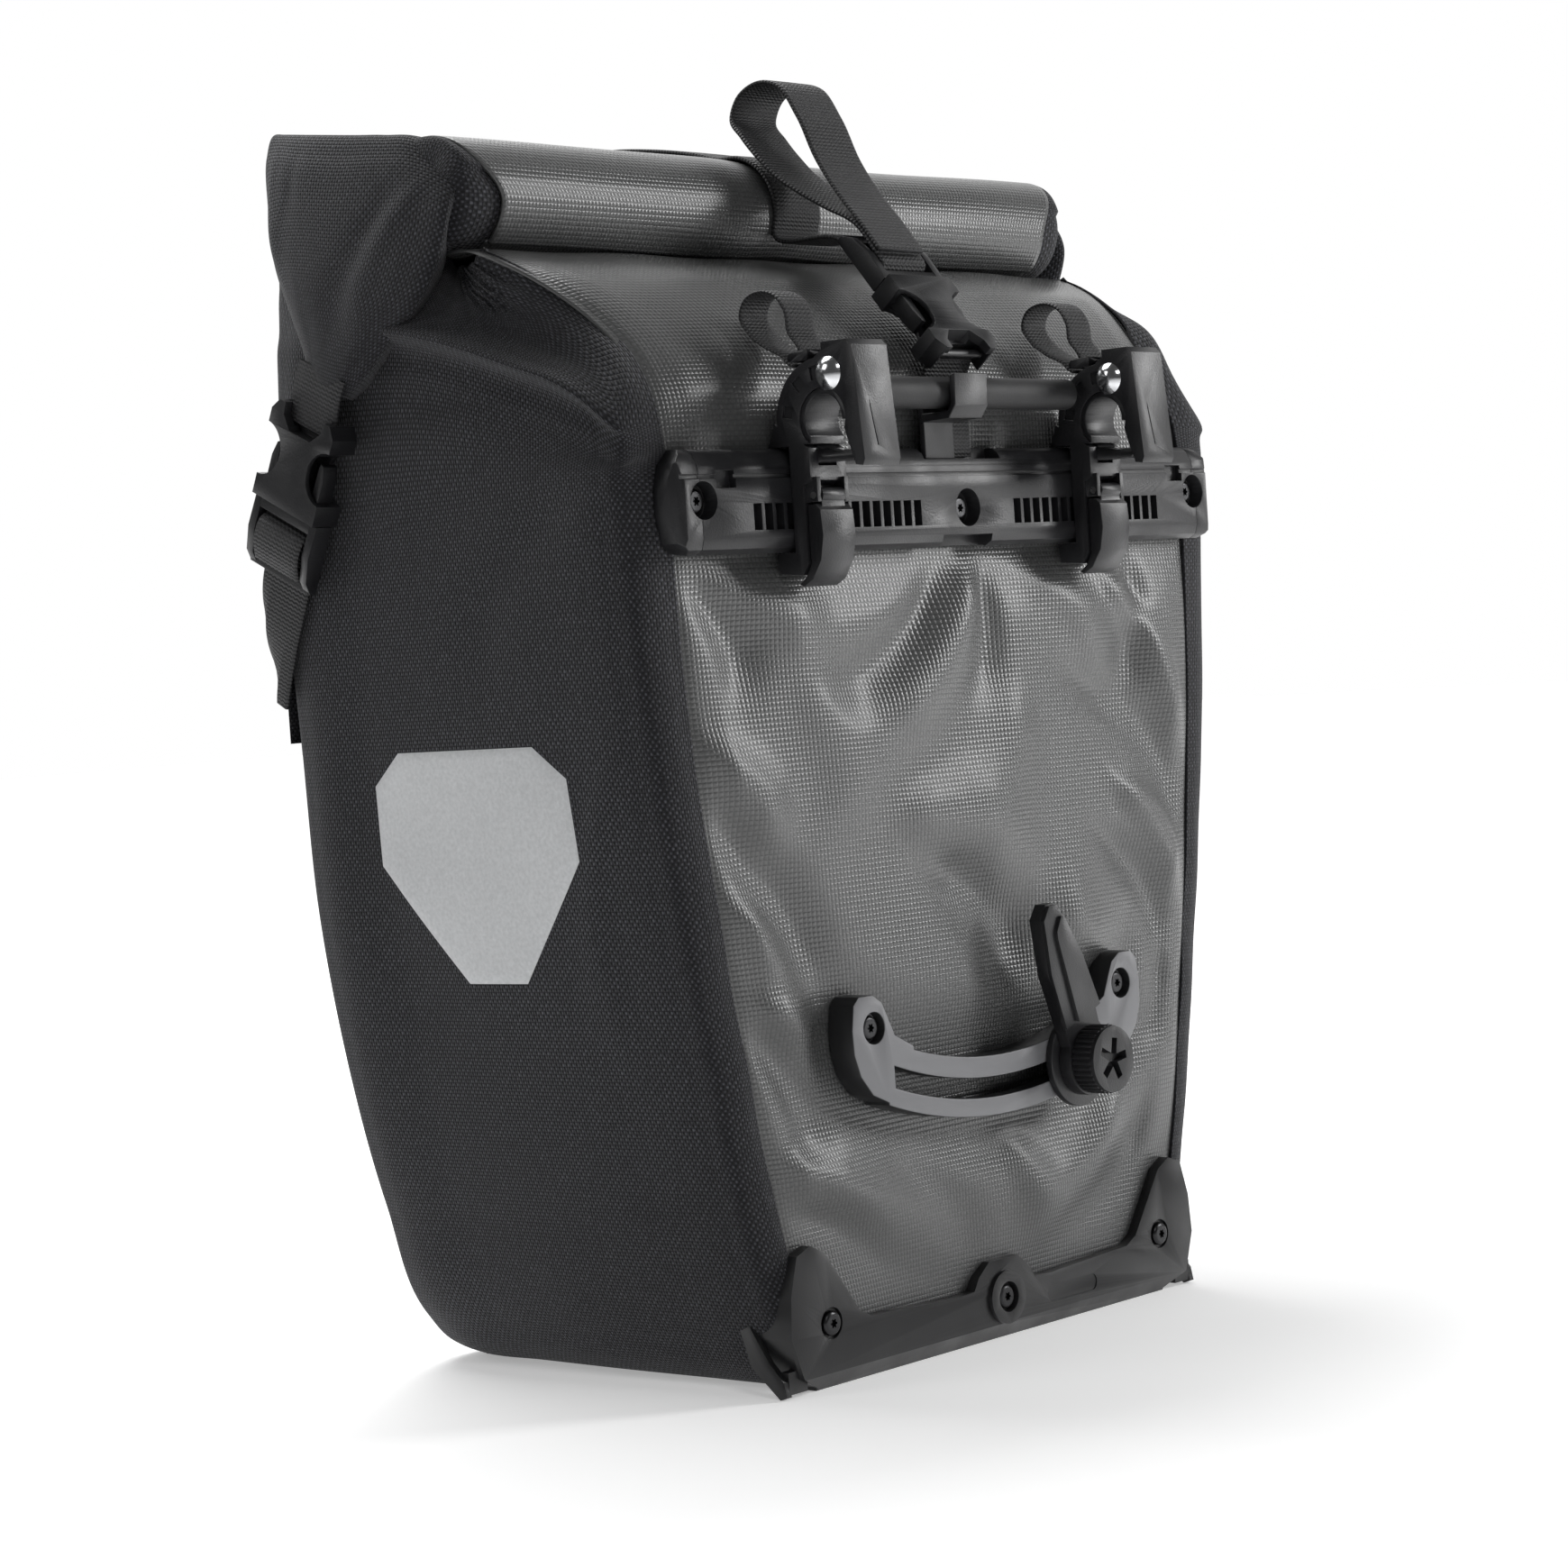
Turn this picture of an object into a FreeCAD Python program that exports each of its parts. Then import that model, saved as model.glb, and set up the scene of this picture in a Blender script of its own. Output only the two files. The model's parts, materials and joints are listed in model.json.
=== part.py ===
import FreeCAD, Part
import math
import os
from FreeCAD import Vector as V

# Roll-top bicycle pannier bag with a quick-release rack mounting.
# Frame: +Z up, the rack side faces -Y, +X runs along the mounting rail, and the
# origin is on the ground plane under the middle of the bag.  Millimetres.

os.makedirs("parts", exist_ok=True)

# ------------------------------------------------------------------ driving sizes
# bag body
BOTTOM_HALF_RACK = 104.0     # half width of the bag at the ground, rack side
BOTTOM_HALF_OUTER = 112.0    # the same on the outer side
TOP_HALF_RACK = 163.0        # half width at the shoulder, rack side
TOP_HALF_OUTER = 165.0
RACK_Y = -85.0               # plane of the rack panel
OUTER_Y = 86.0               # plane of the outer panel
SHOULDER_Z = 318.0           # where the rack panel starts to lean back
FABRIC = 1.2                 # coated fabric with its liner
CORNER_R = 20.0
SEAM_INSET = 15.0            # the side fabric wraps this far round each corner
RACK_FULLNESS = 1.8          # how quickly the sides swell out above the ground, rack side
OUTER_FULLNESS = 3.2
# closure roll
ROLL_Y = -2.0
ROLL_Z = 405.0
ROLL_RY = 21.0
ROLL_RZ = 20.0
ROLL_HALF = 146.0            # half length of the grey part of the roll
ROLL_END = 19.0              # black cuff at each end
ROLL_WALL = 4.0
STRIP_W = 26.0               # closure stiffener strip rolled inside
STRIP_T = 2.4
BAG_TOP = ROLL_Z + 28.0
EAR_OUT = 10.8               # how far an ear stands off the side
# webbing
WEB_W = 25.0
WEB_T = 1.6
LOOP_W = 14.0
GAP = 0.3                    # clearance between pieces that move apart
# mounting rail
RAIL_HALF = 148.0
RAIL_CAP = 12.0
RAIL_FRONT = RACK_Y - 10.0
RAIL_TOP = SHOULDER_Z - 4.0
RAIL_HEIGHT = 34.5
RAIL_BOTTOM = RAIL_TOP - RAIL_HEIGHT
SLOT_PITCH = 5.45
SLOT_W = 3.8
SLOT_H = 8.7
SLOT_Z = RAIL_TOP - 22.6
SLOTS = 16
SLOT_FIRST = 27.6
END_SCREW_X = 134.6
END_SCREW_Z = RAIL_TOP - 17.0
MID_SCREW_Z = RAIL_TOP - 21.1
# screws
SCREW_R = 2.0
SCREW_HEAD_R = 4.2
SCREW_HEAD_H = 2.4
HOLE_CLEAR = 0.1
MID_BORE_R = 6.6             # counterbores: middle of the rail, its ends, other pieces
END_BORE_R = 6.2
LUG_BORE_R = 5.4
NUT_R = 4.2
NUT_H = 3.2
PLATE_T = 1.8                # stiffener plate inside the rack panel
# hooks
HOOK_X = (-83.5, 69.0)       # middle of the left and the right hook
HOOK_HALF = 9.0
TUBE_R = 10.0                # seat in the hook
HOOK_WALL = 10.0
SEAT_Y = RAIL_FRONT - 15.7
SEAT_Z = RAIL_TOP + 8.2
LINER_R = 8.0                # inside radius of the reducing insert
RIVET_Y = RAIL_FRONT - 19.3
RIVET_Z = RAIL_TOP + 22.5
RIVET_R = 2.5
RIVET_HEAD_R = 5.6
LATCH_HALF = 4.2
PIN_R = 1.2
PIN_CLEAR = 0.05             # running clearance round the rivet and the pins
LEVER_Y = RAIL_FRONT - 8.6
LEVER_Z = RAIL_TOP - 16.5
# handle
GRIP_R = 5.5
GRIP_BORE = 3.4
GRIP_Y = RAIL_FRONT - 3.0
GRIP_Z = RAIL_TOP + 18.3
GRIP_SPACE = 4.5             # from each hook to the end of the grip
CLIP_X = -9.0
CLIP_HALF = 9.0
# lower rail and swivelling hook
ARC_Z = 270.5                # centre of the curved slot
ARC_R = 180.0
ARC_SLOT = 7.0
ARC_BAND = 21.0
ARC_SLOT_HALF = 60.0
ARC_HORN_X = 69.3
ARC_HORN_Z = 118.5
ARC_FRONT = RACK_Y - 11.0
# half outline of the end plate of the lower rail: distance from the middle, height
HORN_OUTLINE = (
    (49.4, 110.3), (58.7, 114.9), (62.0, 121.8), (64.6, 126.8), (69.2, 129.7),
    (76.4, 129.7), (79.2, 127.1), (80.6, 118.8), (80.2, 110.5), (77.5, 102.9),
    (71.8, 96.0), (58.0, 89.9), (45.2, 87.1),
)
KNOB_X = 39.0
KNOB_R = 12.4
KNOB_H = 9.2
FLANGE_R = 17.0
FLANGE_T = 2.7
BLADE_LEN = 61.0
BLADE_TILT = 21.5
BLADE_T = 4.7
BOLT_R = 2.5
BOLT_CLEAR = 0.08
# bottom protector
PROT_FRONT = RACK_Y - 4.0
PROT_SCREWS = ((-92.7, 22.2), (0.0, 15.0), (92.7, 22.2))
PILL_X = (27.0, 50.0)        # blank recess in the guard
PILL_Z = 11.5
PILL_R = 3.0
# buckles
BUCKLE_W = 33.0
BUCKLE_T = 11.0
FEMALE_L = 35.0
MALE_L = 25.0
PRONG_L = 21.0
SIDE_FALL = (0.436, -0.900)  # direction of the side straps in Y, Z
SIDE_MOUTH = (60.3, 306.5)   # mouth of the side buckles in Y, Z
SIDE_X = max(TOP_HALF_RACK, TOP_HALF_OUTER) + 3.0
TOP_RISE = (0.620, 0.784)
TOP_MOUTH = (-70.8, 368.6)
STRAP_ANCHOR_Z = 250.0       # where the closure strap is sewn to the outer panel
SIDE_ANCHOR = (84.0, 240.0)

parts = {}


# ------------------------------------------------------------------ helpers
def box(x0, x1, y0, y1, z0, z1):
    return Part.makeBox(x1 - x0, y1 - y0, z1 - z0, V(x0, y0, z0))


def rod(x, y, z, axis, radius, length):
    return Part.makeCylinder(radius, length, V(x, y, z), V(*axis))


def prism_x(points, x0, x1):
    """Outline of (y, z) points, from x0 to x1."""
    wire = Part.makePolygon([V(x0, y, z) for y, z in points + points[:1]])
    return Part.Face(wire).extrude(V(x1 - x0, 0, 0))


def prism_y(points, y0, y1):
    """Outline of (x, z) points, from y0 to y1."""
    wire = Part.makePolygon([V(x, y0, z) for x, z in points + points[:1]])
    return Part.Face(wire).extrude(V(0, y1 - y0, 0))


def rounded_wire(corners, radius, z):
    """Closed wire through 2-D corners with an arc at each corner."""
    edges = []
    starts = []
    ends = []
    mids = []
    count = len(corners)
    for i in range(count):
        p = V(corners[i][0], corners[i][1], z)
        a = V(corners[i - 1][0], corners[i - 1][1], z) - p
        b = V(corners[(i + 1) % count][0], corners[(i + 1) % count][1], z) - p
        a.normalize()
        b.normalize()
        half = a.getAngle(b) / 2.0
        reach = radius / math.tan(half)
        bis = a + b
        bis.normalize()
        starts.append(p + a * reach)
        ends.append(p + b * reach)
        mids.append(p + bis * (radius / math.sin(half) - radius))
    for i in range(count):
        edges.append(Part.Arc(starts[i], mids[i], ends[i]).toShape())
        edges.append(Part.LineSegment(ends[i], starts[(i + 1) % count]).toShape())
    return Part.Wire(edges)


def ribbon(points, half_width, thickness, side=1.0, x=0.0):
    """Flat webbing along (y, z) points, its width along X about x."""
    count = len(points)
    normals = []
    for i in range(count):
        before = points[max(i - 1, 0)]
        after = points[min(i + 1, count - 1)]
        dy = after[0] - before[0]
        dz = after[1] - before[1]
        size = math.hypot(dy, dz)
        normals.append((-dz / size * side, dy / size * side))
    lifted = [(p[0] + n[0] * thickness, p[1] + n[1] * thickness)
              for p, n in zip(points, normals)]
    return prism_x(points + lifted[::-1], x - half_width, x + half_width)


def placed(shape, origin, across, along, out):
    """Copy of a shape drawn in (across, along, out) put at origin."""
    turn = FreeCAD.Rotation(V(*across), V(*along), V(*out), "XYZ")
    copy = shape.copy()
    copy.Placement = FreeCAD.Placement(V(*origin), turn)
    return copy


def keep(name, shape):
    parts[name] = shape


def compound(shapes):
    return Part.makeCompound(shapes)


# ------------------------------------------------------------------ bag body
def half_width(z, bottom, top, fullness):
    """Half width at height z: the sides swell out quickly and then run straight."""
    t = min(max(z / SHOULDER_Z, 0.0), 1.0)
    return bottom + (top - bottom) * (1.0 - (1.0 - t) ** fullness)


def sections():
    """(z, rack half width, outer half width, rack y, outer y, corner radius)."""
    rows = []
    base = ((0.0, -6.0, 15.0, -7.0, 8.0), (3.0, -3.0, 6.0, -3.0, 12.0),
            (10.0, -1.0, 0.7, -1.0, 18.0))
    for z, narrow, rack_in, outer_in, radius in base:
        rows.append((z, half_width(z, BOTTOM_HALF_RACK, TOP_HALF_RACK, RACK_FULLNESS) + narrow,
                     half_width(z, BOTTOM_HALF_OUTER, TOP_HALF_OUTER, OUTER_FULLNESS) + narrow,
                     RACK_Y + rack_in, OUTER_Y + outer_in, radius))
    for share in (0.06, 0.15, 0.3, 0.45, 0.62, 0.8, 1.0):
        z = SHOULDER_Z * share
        rows.append((z, half_width(z, BOTTOM_HALF_RACK, TOP_HALF_RACK, RACK_FULLNESS),
                     half_width(z, BOTTOM_HALF_OUTER, TOP_HALF_OUTER, OUTER_FULLNESS),
                     RACK_Y, OUTER_Y, CORNER_R))
    lean = ROLL_Z - 20.0 - SHOULDER_Z
    for share, narrow, yr in ((0.36, -1.0, RACK_Y + 8.0), (0.78, -2.0, RACK_Y + 33.0),
                              (0.98, -2.0, RACK_Y + 53.0), (1.06, -4.0, ROLL_Y - 14.0),
                              (1.22, -7.0, ROLL_Y + 12.0)):
        z = SHOULDER_Z + lean * share
        rows.append((z, TOP_HALF_RACK + narrow, TOP_HALF_OUTER + narrow * 1.5, yr, OUTER_Y, CORNER_R))
    rows.append((BAG_TOP - 9.0, TOP_HALF_RACK - 11.0, TOP_HALF_OUTER - 14.0,
                 ROLL_Y + 22.0, OUTER_Y - 1.0, 16.0))
    rows.append((BAG_TOP, TOP_HALF_RACK - 22.0, TOP_HALF_OUTER - 23.0,
                 ROLL_Y + 34.0, OUTER_Y - 11.0, 9.0))
    return rows


def bag_loft(inset):
    """Solid inside the bag's outer surface, moved in by inset."""
    rows = sections()
    wires = []
    for i, (z, rack, outer, yr, yo, radius) in enumerate(rows):
        lift = inset if i == 0 else (-inset if i == len(rows) - 1 else 0.0)
        corners = [(-rack + inset, yr + inset), (rack - inset, yr + inset),
                   (outer - inset, yo - inset), (-outer + inset, yo - inset)]
        wires.append(rounded_wire(corners, radius - inset, z + lift))
    return Part.makeLoft(wires, True, True)


def oval(x0, x1, grow):
    """Closure roll cross-section, from x0 to x1."""
    ellipse = Part.Ellipse(V(0, 0, 0), ROLL_RY + grow, ROLL_RZ + grow)
    face = Part.Face(Part.Wire([ellipse.toShape()]))
    solid = face.extrude(V(0, 0, x1 - x0))
    return placed(solid, (x0, ROLL_Y, ROLL_Z), (0, 1, 0), (0, 0, 1), (1, 0, 0))


def seam_outline(bottom, top, fullness, low, high):
    """(x, z) outline of a grey panel between its two seams."""
    levels = [low] + [SHOULDER_Z * share for share in (0.15, 0.3, 0.45, 0.62, 0.8, 1.0)] + [high]
    left = [(-(half_width(z, bottom, top, fullness) - SEAM_INSET), z) for z in levels]
    return left + [(-x, z) for x, z in left[::-1]]


def screw_positions():
    """(x, z, front face y of the clamped piece, counterbore depth) of every panel screw."""
    rail = [(-END_SCREW_X, END_SCREW_Z, RAIL_FRONT, 6.0), (0.0, MID_SCREW_Z, RAIL_FRONT, 6.0),
            (END_SCREW_X, END_SCREW_Z, RAIL_FRONT, 6.0)]
    lower = [(side * ARC_HORN_X, ARC_HORN_Z, ARC_FRONT, 4.0) for side in (-1, 1)]
    guard = [(x, z, PROT_FRONT, 1.4) for x, z in PROT_SCREWS]
    return rail, lower, guard


def make_bag():
    outer = bag_loft(0.0)
    inner = bag_loft(FABRIC)
    roll_room = oval(-200.0, 200.0, 0.0)
    shell = outer.cut(roll_room).cut(inner.cut(oval(-200.0, 200.0, FABRIC)))
    for group in screw_positions():
        for x, z, _front, _deep in group:
            shell = shell.cut(rod(x, RACK_Y - 5.0, z, (0, 1, 0), SCREW_R + HOLE_CLEAR, 20.0))
    rack_zone = prism_y(seam_outline(BOTTOM_HALF_RACK, TOP_HALF_RACK, RACK_FULLNESS, 9.0, BAG_TOP + 5.0),
                        RACK_Y - 10.0, ROLL_Y)
    outer_zone = prism_y(seam_outline(BOTTOM_HALF_OUTER, TOP_HALF_OUTER, OUTER_FULLNESS, 9.0, BAG_TOP + 5.0),
                         ROLL_Y, OUTER_Y + 10.0)
    rack = shell.common(rack_zone)
    front = shell.common(outer_zone)
    keep("rack_panel", rack)
    keep("outer_panel", front)
    keep("gusset", shell.cut(rack_zone).cut(outer_zone))
    return outer


def make_roll():
    tube = oval(-ROLL_HALF, ROLL_HALF, 0.0).cut(oval(-ROLL_HALF + 3.0, ROLL_HALF - 3.0, -ROLL_WALL))
    keep("closure_roll", tube)
    keep("closure_stiffener", box(-ROLL_HALF + 6.0, ROLL_HALF - 6.0,
                                  ROLL_Y - STRIP_W / 2, ROLL_Y + STRIP_W / 2,
                                  ROLL_Z - STRIP_T / 2, ROLL_Z + STRIP_T / 2))


def make_ear(side, bag):
    """Roll end folded down over the side panel like the flap of a parcel."""
    x0 = side * ROLL_HALF
    cuff = oval(min(x0, x0 + side * ROLL_END), max(x0, x0 + side * ROLL_END), 0.0)
    flap = [(OUTER_Y - 1.0, BAG_TOP + 4.0), (ROLL_Y + 25.0, BAG_TOP), (ROLL_Y, ROLL_Z + ROLL_RZ),
            (ROLL_Y - 18.0, ROLL_Z - 4.0), (ROLL_Y - 12.0, ROLL_Z - 16.0), (46.0, 349.0),
            (58.0, 350.0), (OUTER_Y - 10.0, 395.0)]
    inside = ROLL_HALF + 1.0
    out = TOP_HALF_OUTER + EAR_OUT
    sheet = prism_x(flap, min(side * inside, side * out), max(side * inside, side * out))
    lean = prism_y([(side * (inside - 20), 300.0), (side * out, 300.0), (side * out, 380.0),
                    (side * (inside + 4), BAG_TOP + 4.0), (side * (inside - 20), BAG_TOP + 4.0)],
                   -120.0, 120.0)
    ear = cuff.fuse(sheet.common(lean)).cut(bag)
    solids = sorted(ear.Solids, key=lambda s: s.Volume)
    return solids[-1]


def make_reflector(side, bag):
    middle = -1.0
    outline = [(middle - 31.5, 221.0), (middle - 44.5, 210.0), (middle - 45.0, 182.5),
               (middle - 13.0, 141.5), (middle + 13.0, 141.5), (middle + 45.0, 182.5),
               (middle + 44.5, 210.0), (middle + 31.5, 221.0)]
    column = prism_x(outline, min(side * 100.0, side * 200.0), max(side * 100.0, side * 200.0))
    return bag_loft(-0.6).cut(bag).common(column)


def make_inside():
    plate = prism_y([(-82.0, 11.0), (82.0, 11.0), (104.0, 60.0), (128.0, 190.0),
                     (139.0, SHOULDER_Z - 6.0), (-139.0, SHOULDER_Z - 6.0), (-128.0, 190.0),
                     (-104.0, 60.0)],
                    RACK_Y + FABRIC, RACK_Y + FABRIC + PLATE_T)
    panel_screws = [p for group in screw_positions() for p in group]
    plate = plate.fuse(box(-99.0, 99.0, RACK_Y + FABRIC, RACK_Y + FABRIC + PLATE_T, 16.0, 60.0))
    plate = plate.common(bag_loft(FABRIC + 0.02))
    nuts = []
    back = RACK_Y + FABRIC + PLATE_T
    for x, z, _front, _deep in panel_screws:
        plate = plate.cut(rod(x, RACK_Y, z, (0, 1, 0), SCREW_R + HOLE_CLEAR, 10.0))
        hexagon = [(x + NUT_R * math.cos(math.radians(60 * k)),
                    z + NUT_R * math.sin(math.radians(60 * k))) for k in range(6)]
        nut = prism_y(hexagon, back, back + NUT_H)
        nuts.append(nut.cut(rod(x, back - 1.0, z, (0, 1, 0), SCREW_R + 0.02, NUT_H + 2.0)))
    keep("stiffener_plate", plate)
    keep("panel_nuts", compound(nuts))
    pocket = box(-95.0, 95.0, back + NUT_H + 1.5, back + NUT_H + 5.5, 150.0, 262.0)
    hollow = box(-93.5, 93.5, back + NUT_H + 2.7, back + NUT_H + 4.3, 151.5, 263.0)
    keep("inner_pocket", pocket.cut(hollow))


# ------------------------------------------------------------------ screws and rails
def make_screw(x, z, front, deep):
    """Button-head screw from a counterbore through the panel to its nut."""
    seat = front + deep
    head = rod(x, seat - SCREW_HEAD_H, z, (0, 1, 0), SCREW_HEAD_R, SCREW_HEAD_H)
    rim = [e for e in head.Edges if abs(e.CenterOfMass.y - (seat - SCREW_HEAD_H)) < 1e-6]
    head = head.makeFillet(1.4, rim[:1])
    lobes = rod(x, seat - SCREW_HEAD_H - 0.1, z, (0, 1, 0), 1.1, 1.4)
    for k in range(6):
        a = math.radians(60 * k)
        lobes = lobes.fuse(rod(x + 1.2 * math.cos(a), seat - SCREW_HEAD_H - 0.1, z + 1.2 * math.sin(a),
                               (0, 1, 0), 0.42, 1.4))
    end = RACK_Y + FABRIC + PLATE_T + NUT_H + 0.8
    shank = rod(x, seat - 0.2, z, (0, 1, 0), SCREW_R, end - seat + 0.2)
    return head.cut(lobes).fuse(shank)


def drill(shape, x, z, front, deep, bore_r):
    shape = shape.cut(rod(x, front - 5.0, z, (0, 1, 0), bore_r, deep + 5.0))
    return shape.cut(rod(x, front - 5.0, z, (0, 1, 0), SCREW_R + HOLE_CLEAR, 30.0))


def rail_outline():
    """(y, z) outline of the mounting rail: flat face, stepped shoulder, rounded top."""
    back = RACK_Y
    front = RAIL_FRONT
    top = RAIL_TOP
    low = RAIL_BOTTOM
    return [(back, low + 1.0), (front + 4.0, low), (front + 1.0, low + 1.6), (front, low + 5.0),
            (front, top - 10.0), (front + 1.2, top - 10.0), (front + 1.2, top - 8.6),
            (front + 0.6, top - 8.6), (front + 1.2, top - 5.5), (front + 3.0, top - 2.0),
            (front + 5.0, top - 0.4), (front + 6.6, top), (back, top)]


def make_rail():
    body_half = RAIL_HALF - RAIL_CAP
    rail = prism_x(rail_outline(), -body_half, body_half)
    for side in (-1, 1):
        for k in range(SLOTS):
            x = side * (SLOT_FIRST + SLOT_PITCH * k)
            rail = rail.cut(box(x - SLOT_W / 2, x + SLOT_W / 2, RAIL_FRONT - 1.0, RAIL_FRONT + 4.0,
                                SLOT_Z - SLOT_H / 2, SLOT_Z + SLOT_H / 2))
        x = side * 123.5
        rail = rail.cut(box(x - 4.5, x + 4.5, RAIL_FRONT - 1.0, RAIL_FRONT + 3.0,
                            RAIL_TOP - 13.0, RAIL_TOP - 7.2))
    rail = rail.cut(box(CLIP_X - 11.0, 22.0, RAIL_FRONT - 1.0, RACK_Y - 1.0, RAIL_TOP - 4.0, RAIL_TOP + 1.0))
    rail = rail.cut(box(-14.0, 13.0, RAIL_FRONT - 1.0, RACK_Y - 3.0, RAIL_BOTTOM - 1.0, RAIL_BOTTOM + 4.0))
    groups = screw_positions()[0]
    rail = drill(rail, groups[1][0], groups[1][1], RAIL_FRONT, groups[1][3], MID_BORE_R)
    for x, z, front, deep in (groups[0], groups[2]):
        rail = drill(rail, x, z, front, deep, END_BORE_R)
    keep("mounting_rail", rail)
    for side, name in ((-1, "rail_end_left"), (1, "rail_end_right")):
        x0 = side * body_half
        cap = prism_x(rail_outline(), min(x0, side * RAIL_HALF), max(x0, side * RAIL_HALF))
        tip = side * RAIL_HALF
        shoulder = side * (RAIL_HALF - 2.2)
        inner = side * (body_half - 1.0)
        middle = (RAIL_BOTTOM + RAIL_TOP) / 2
        front_view = prism_y([(inner, RAIL_BOTTOM - 1.0), (side * (RAIL_HALF - 8.0), RAIL_BOTTOM - 0.5),
                              (shoulder, RAIL_BOTTOM + 4.0), (tip, middle - 4.0), (tip, middle + 4.0),
                              (shoulder, RAIL_TOP - 5.0), (side * (RAIL_HALF - 8.0), RAIL_TOP + 0.5),
                              (inner, RAIL_TOP + 1.0)], RAIL_FRONT - 1.0, RACK_Y + 1.0)
        wire = Part.makePolygon([V(inner, RAIL_FRONT - 1.0, 0),
                                 V(side * (RAIL_HALF - 5.0), RAIL_FRONT - 0.5, 0),
                                 V(side * (RAIL_HALF - 1.2), RAIL_FRONT + 3.5, 0),
                                 V(side * (RAIL_HALF + 1.0), RACK_Y + 1.0, 0), V(inner, RACK_Y + 1.0, 0),
                                 V(inner, RAIL_FRONT - 1.0, 0)])
        top_view = Part.Face(wire).extrude(V(0, 0, RAIL_TOP - RAIL_BOTTOM + 4.0))
        top_view.translate(V(0, 0, RAIL_BOTTOM - 2.0))
        cap = cap.common(front_view).common(top_view)
        hole = groups[0] if side < 0 else groups[2]
        keep(name, drill(cap, hole[0], hole[1], hole[2], hole[3], END_BORE_R))
    keep("rail_screws", compound([make_screw(*p) for p in groups]))


def arc_sector(inner, outer, half, y0, y1):
    """Band of an annulus about the slot centre, within |x| < half."""
    ring = rod(0, y0, ARC_Z, (0, 1, 0), outer, y1 - y0)
    ring = ring.cut(rod(0, y0 - 1, ARC_Z, (0, 1, 0), inner, y1 - y0 + 2))
    return ring.common(box(-half, half, y0, y1, ARC_Z - outer - 5.0, ARC_Z - inner / 2.0))


def make_lower_rail():
    back = RACK_Y
    r_in = ARC_R - ARC_BAND / 2 - 0.5
    r_out = ARC_R + ARC_BAND / 2 - 0.5
    bar = arc_sector(r_in, r_out, ARC_SLOT_HALF + 4.0, ARC_FRONT, back)
    for side in (-1, 1):
        horn = prism_y([(side * x, z) for x, z in HORN_OUTLINE], ARC_FRONT, back)
        bar = bar.fuse(horn)
    slot = arc_sector(ARC_R - ARC_SLOT / 2, ARC_R + ARC_SLOT / 2, ARC_SLOT_HALF, ARC_FRONT - 1.0, back + 1.0)
    rebate = arc_sector(ARC_R - ARC_SLOT / 2 - 3.0, ARC_R + ARC_SLOT / 2 + 3.0, ARC_SLOT_HALF + 3.0,
                        back - 4.0, back + 1.0)
    bar = bar.cut(slot).cut(rebate)
    for x, z, front, deep in screw_positions()[1]:
        bar = drill(bar, x, z, front, deep, LUG_BORE_R)
    keep("lower_rail", bar)
    keep("lower_rail_screws", compound([make_screw(*p) for p in screw_positions()[1]]))


def make_protector(bag):
    outline = [(-96.0, 0.0), (-108.0, 6.0), (-113.0, 20.0), (-112.0, 34.0), (-108.0, 47.0), (-101.0, 49.5),
               (-94.0, 46.0), (-78.0, 24.0), (-72.0, 21.0), (-26.0, 19.0), (-17.0, 19.5), (-14.0, 24.0),
               (-8.0, 28.5), (8.0, 28.5), (14.0, 24.0), (17.0, 19.5), (26.0, 19.0), (72.0, 21.0),
               (78.0, 24.0), (94.0, 46.0), (101.0, 49.5), (108.0, 47.0), (112.0, 34.0), (113.0, 20.0),
               (108.0, 6.0), (96.0, 0.0)]
    shell = prism_y(outline, PROT_FRONT, RACK_Y + 16.0)
    chamfer = prism_x([(PROT_FRONT - 1.0, -1.0), (PROT_FRONT + 5.0, -1.0), (PROT_FRONT - 1.0, 7.0)],
                      -130.0, 130.0)
    boss = rod(0, PROT_FRONT - 1.6, 15.0, (0, 1, 0), 9.5, 3.0)
    lip = box(-98.0, 98.0, PROT_FRONT + 4.0, RACK_Y + 24.0, 0.0, 3.0)
    guard = shell.fuse(lip).cut(chamfer).fuse(boss).cut(bag)
    for side in (-1, 1):
        fin = prism_x([(RACK_Y + 15.0, 27.0), (RACK_Y + 18.0, 24.0), (RACK_Y + 13.0, 10.0),
                       (RACK_Y + 1.0, 0.0), (PROT_FRONT + 2.0, 1.0), (PROT_FRONT + 3.0, 6.0),
                       (RACK_Y + 5.0, 12.0)],
                      min(side * 112.6, side * 115.0), max(side * 112.6, side * 115.0))
        web = box(min(side * 104.0, side * 113.0), max(side * 104.0, side * 113.0), PROT_FRONT + 2.5,
                  PROT_FRONT + 6.0, 1.5, 9.0)
        guard = guard.fuse(fin.fuse(web).cut(bag))
    pill = rod(PILL_X[0], PROT_FRONT - 1.0, PILL_Z, (0, 1, 0), PILL_R, 1.4)
    pill = pill.fuse(rod(PILL_X[1], PROT_FRONT - 1.0, PILL_Z, (0, 1, 0), PILL_R, 1.4))
    pill = pill.fuse(box(PILL_X[0], PILL_X[1], PROT_FRONT - 1.0, PROT_FRONT + 0.4, PILL_Z - PILL_R,
                         PILL_Z + PILL_R))
    guard = guard.cut(pill)
    for x, z, front, deep in screw_positions()[2]:
        guard = drill(guard, x, z, front, deep, LUG_BORE_R)
    solids = sorted(guard.Solids, key=lambda s: s.Volume)
    keep("edge_protector", solids[-1])
    keep("protector_screws", compound([make_screw(*p) for p in screw_positions()[2]]))


# ------------------------------------------------------------------ hooks
def from_rail(points):
    """(y, z) points measured from the upper front edge of the mounting rail."""
    return [(RAIL_FRONT + y, RAIL_TOP + z) for y, z in points]


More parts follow.
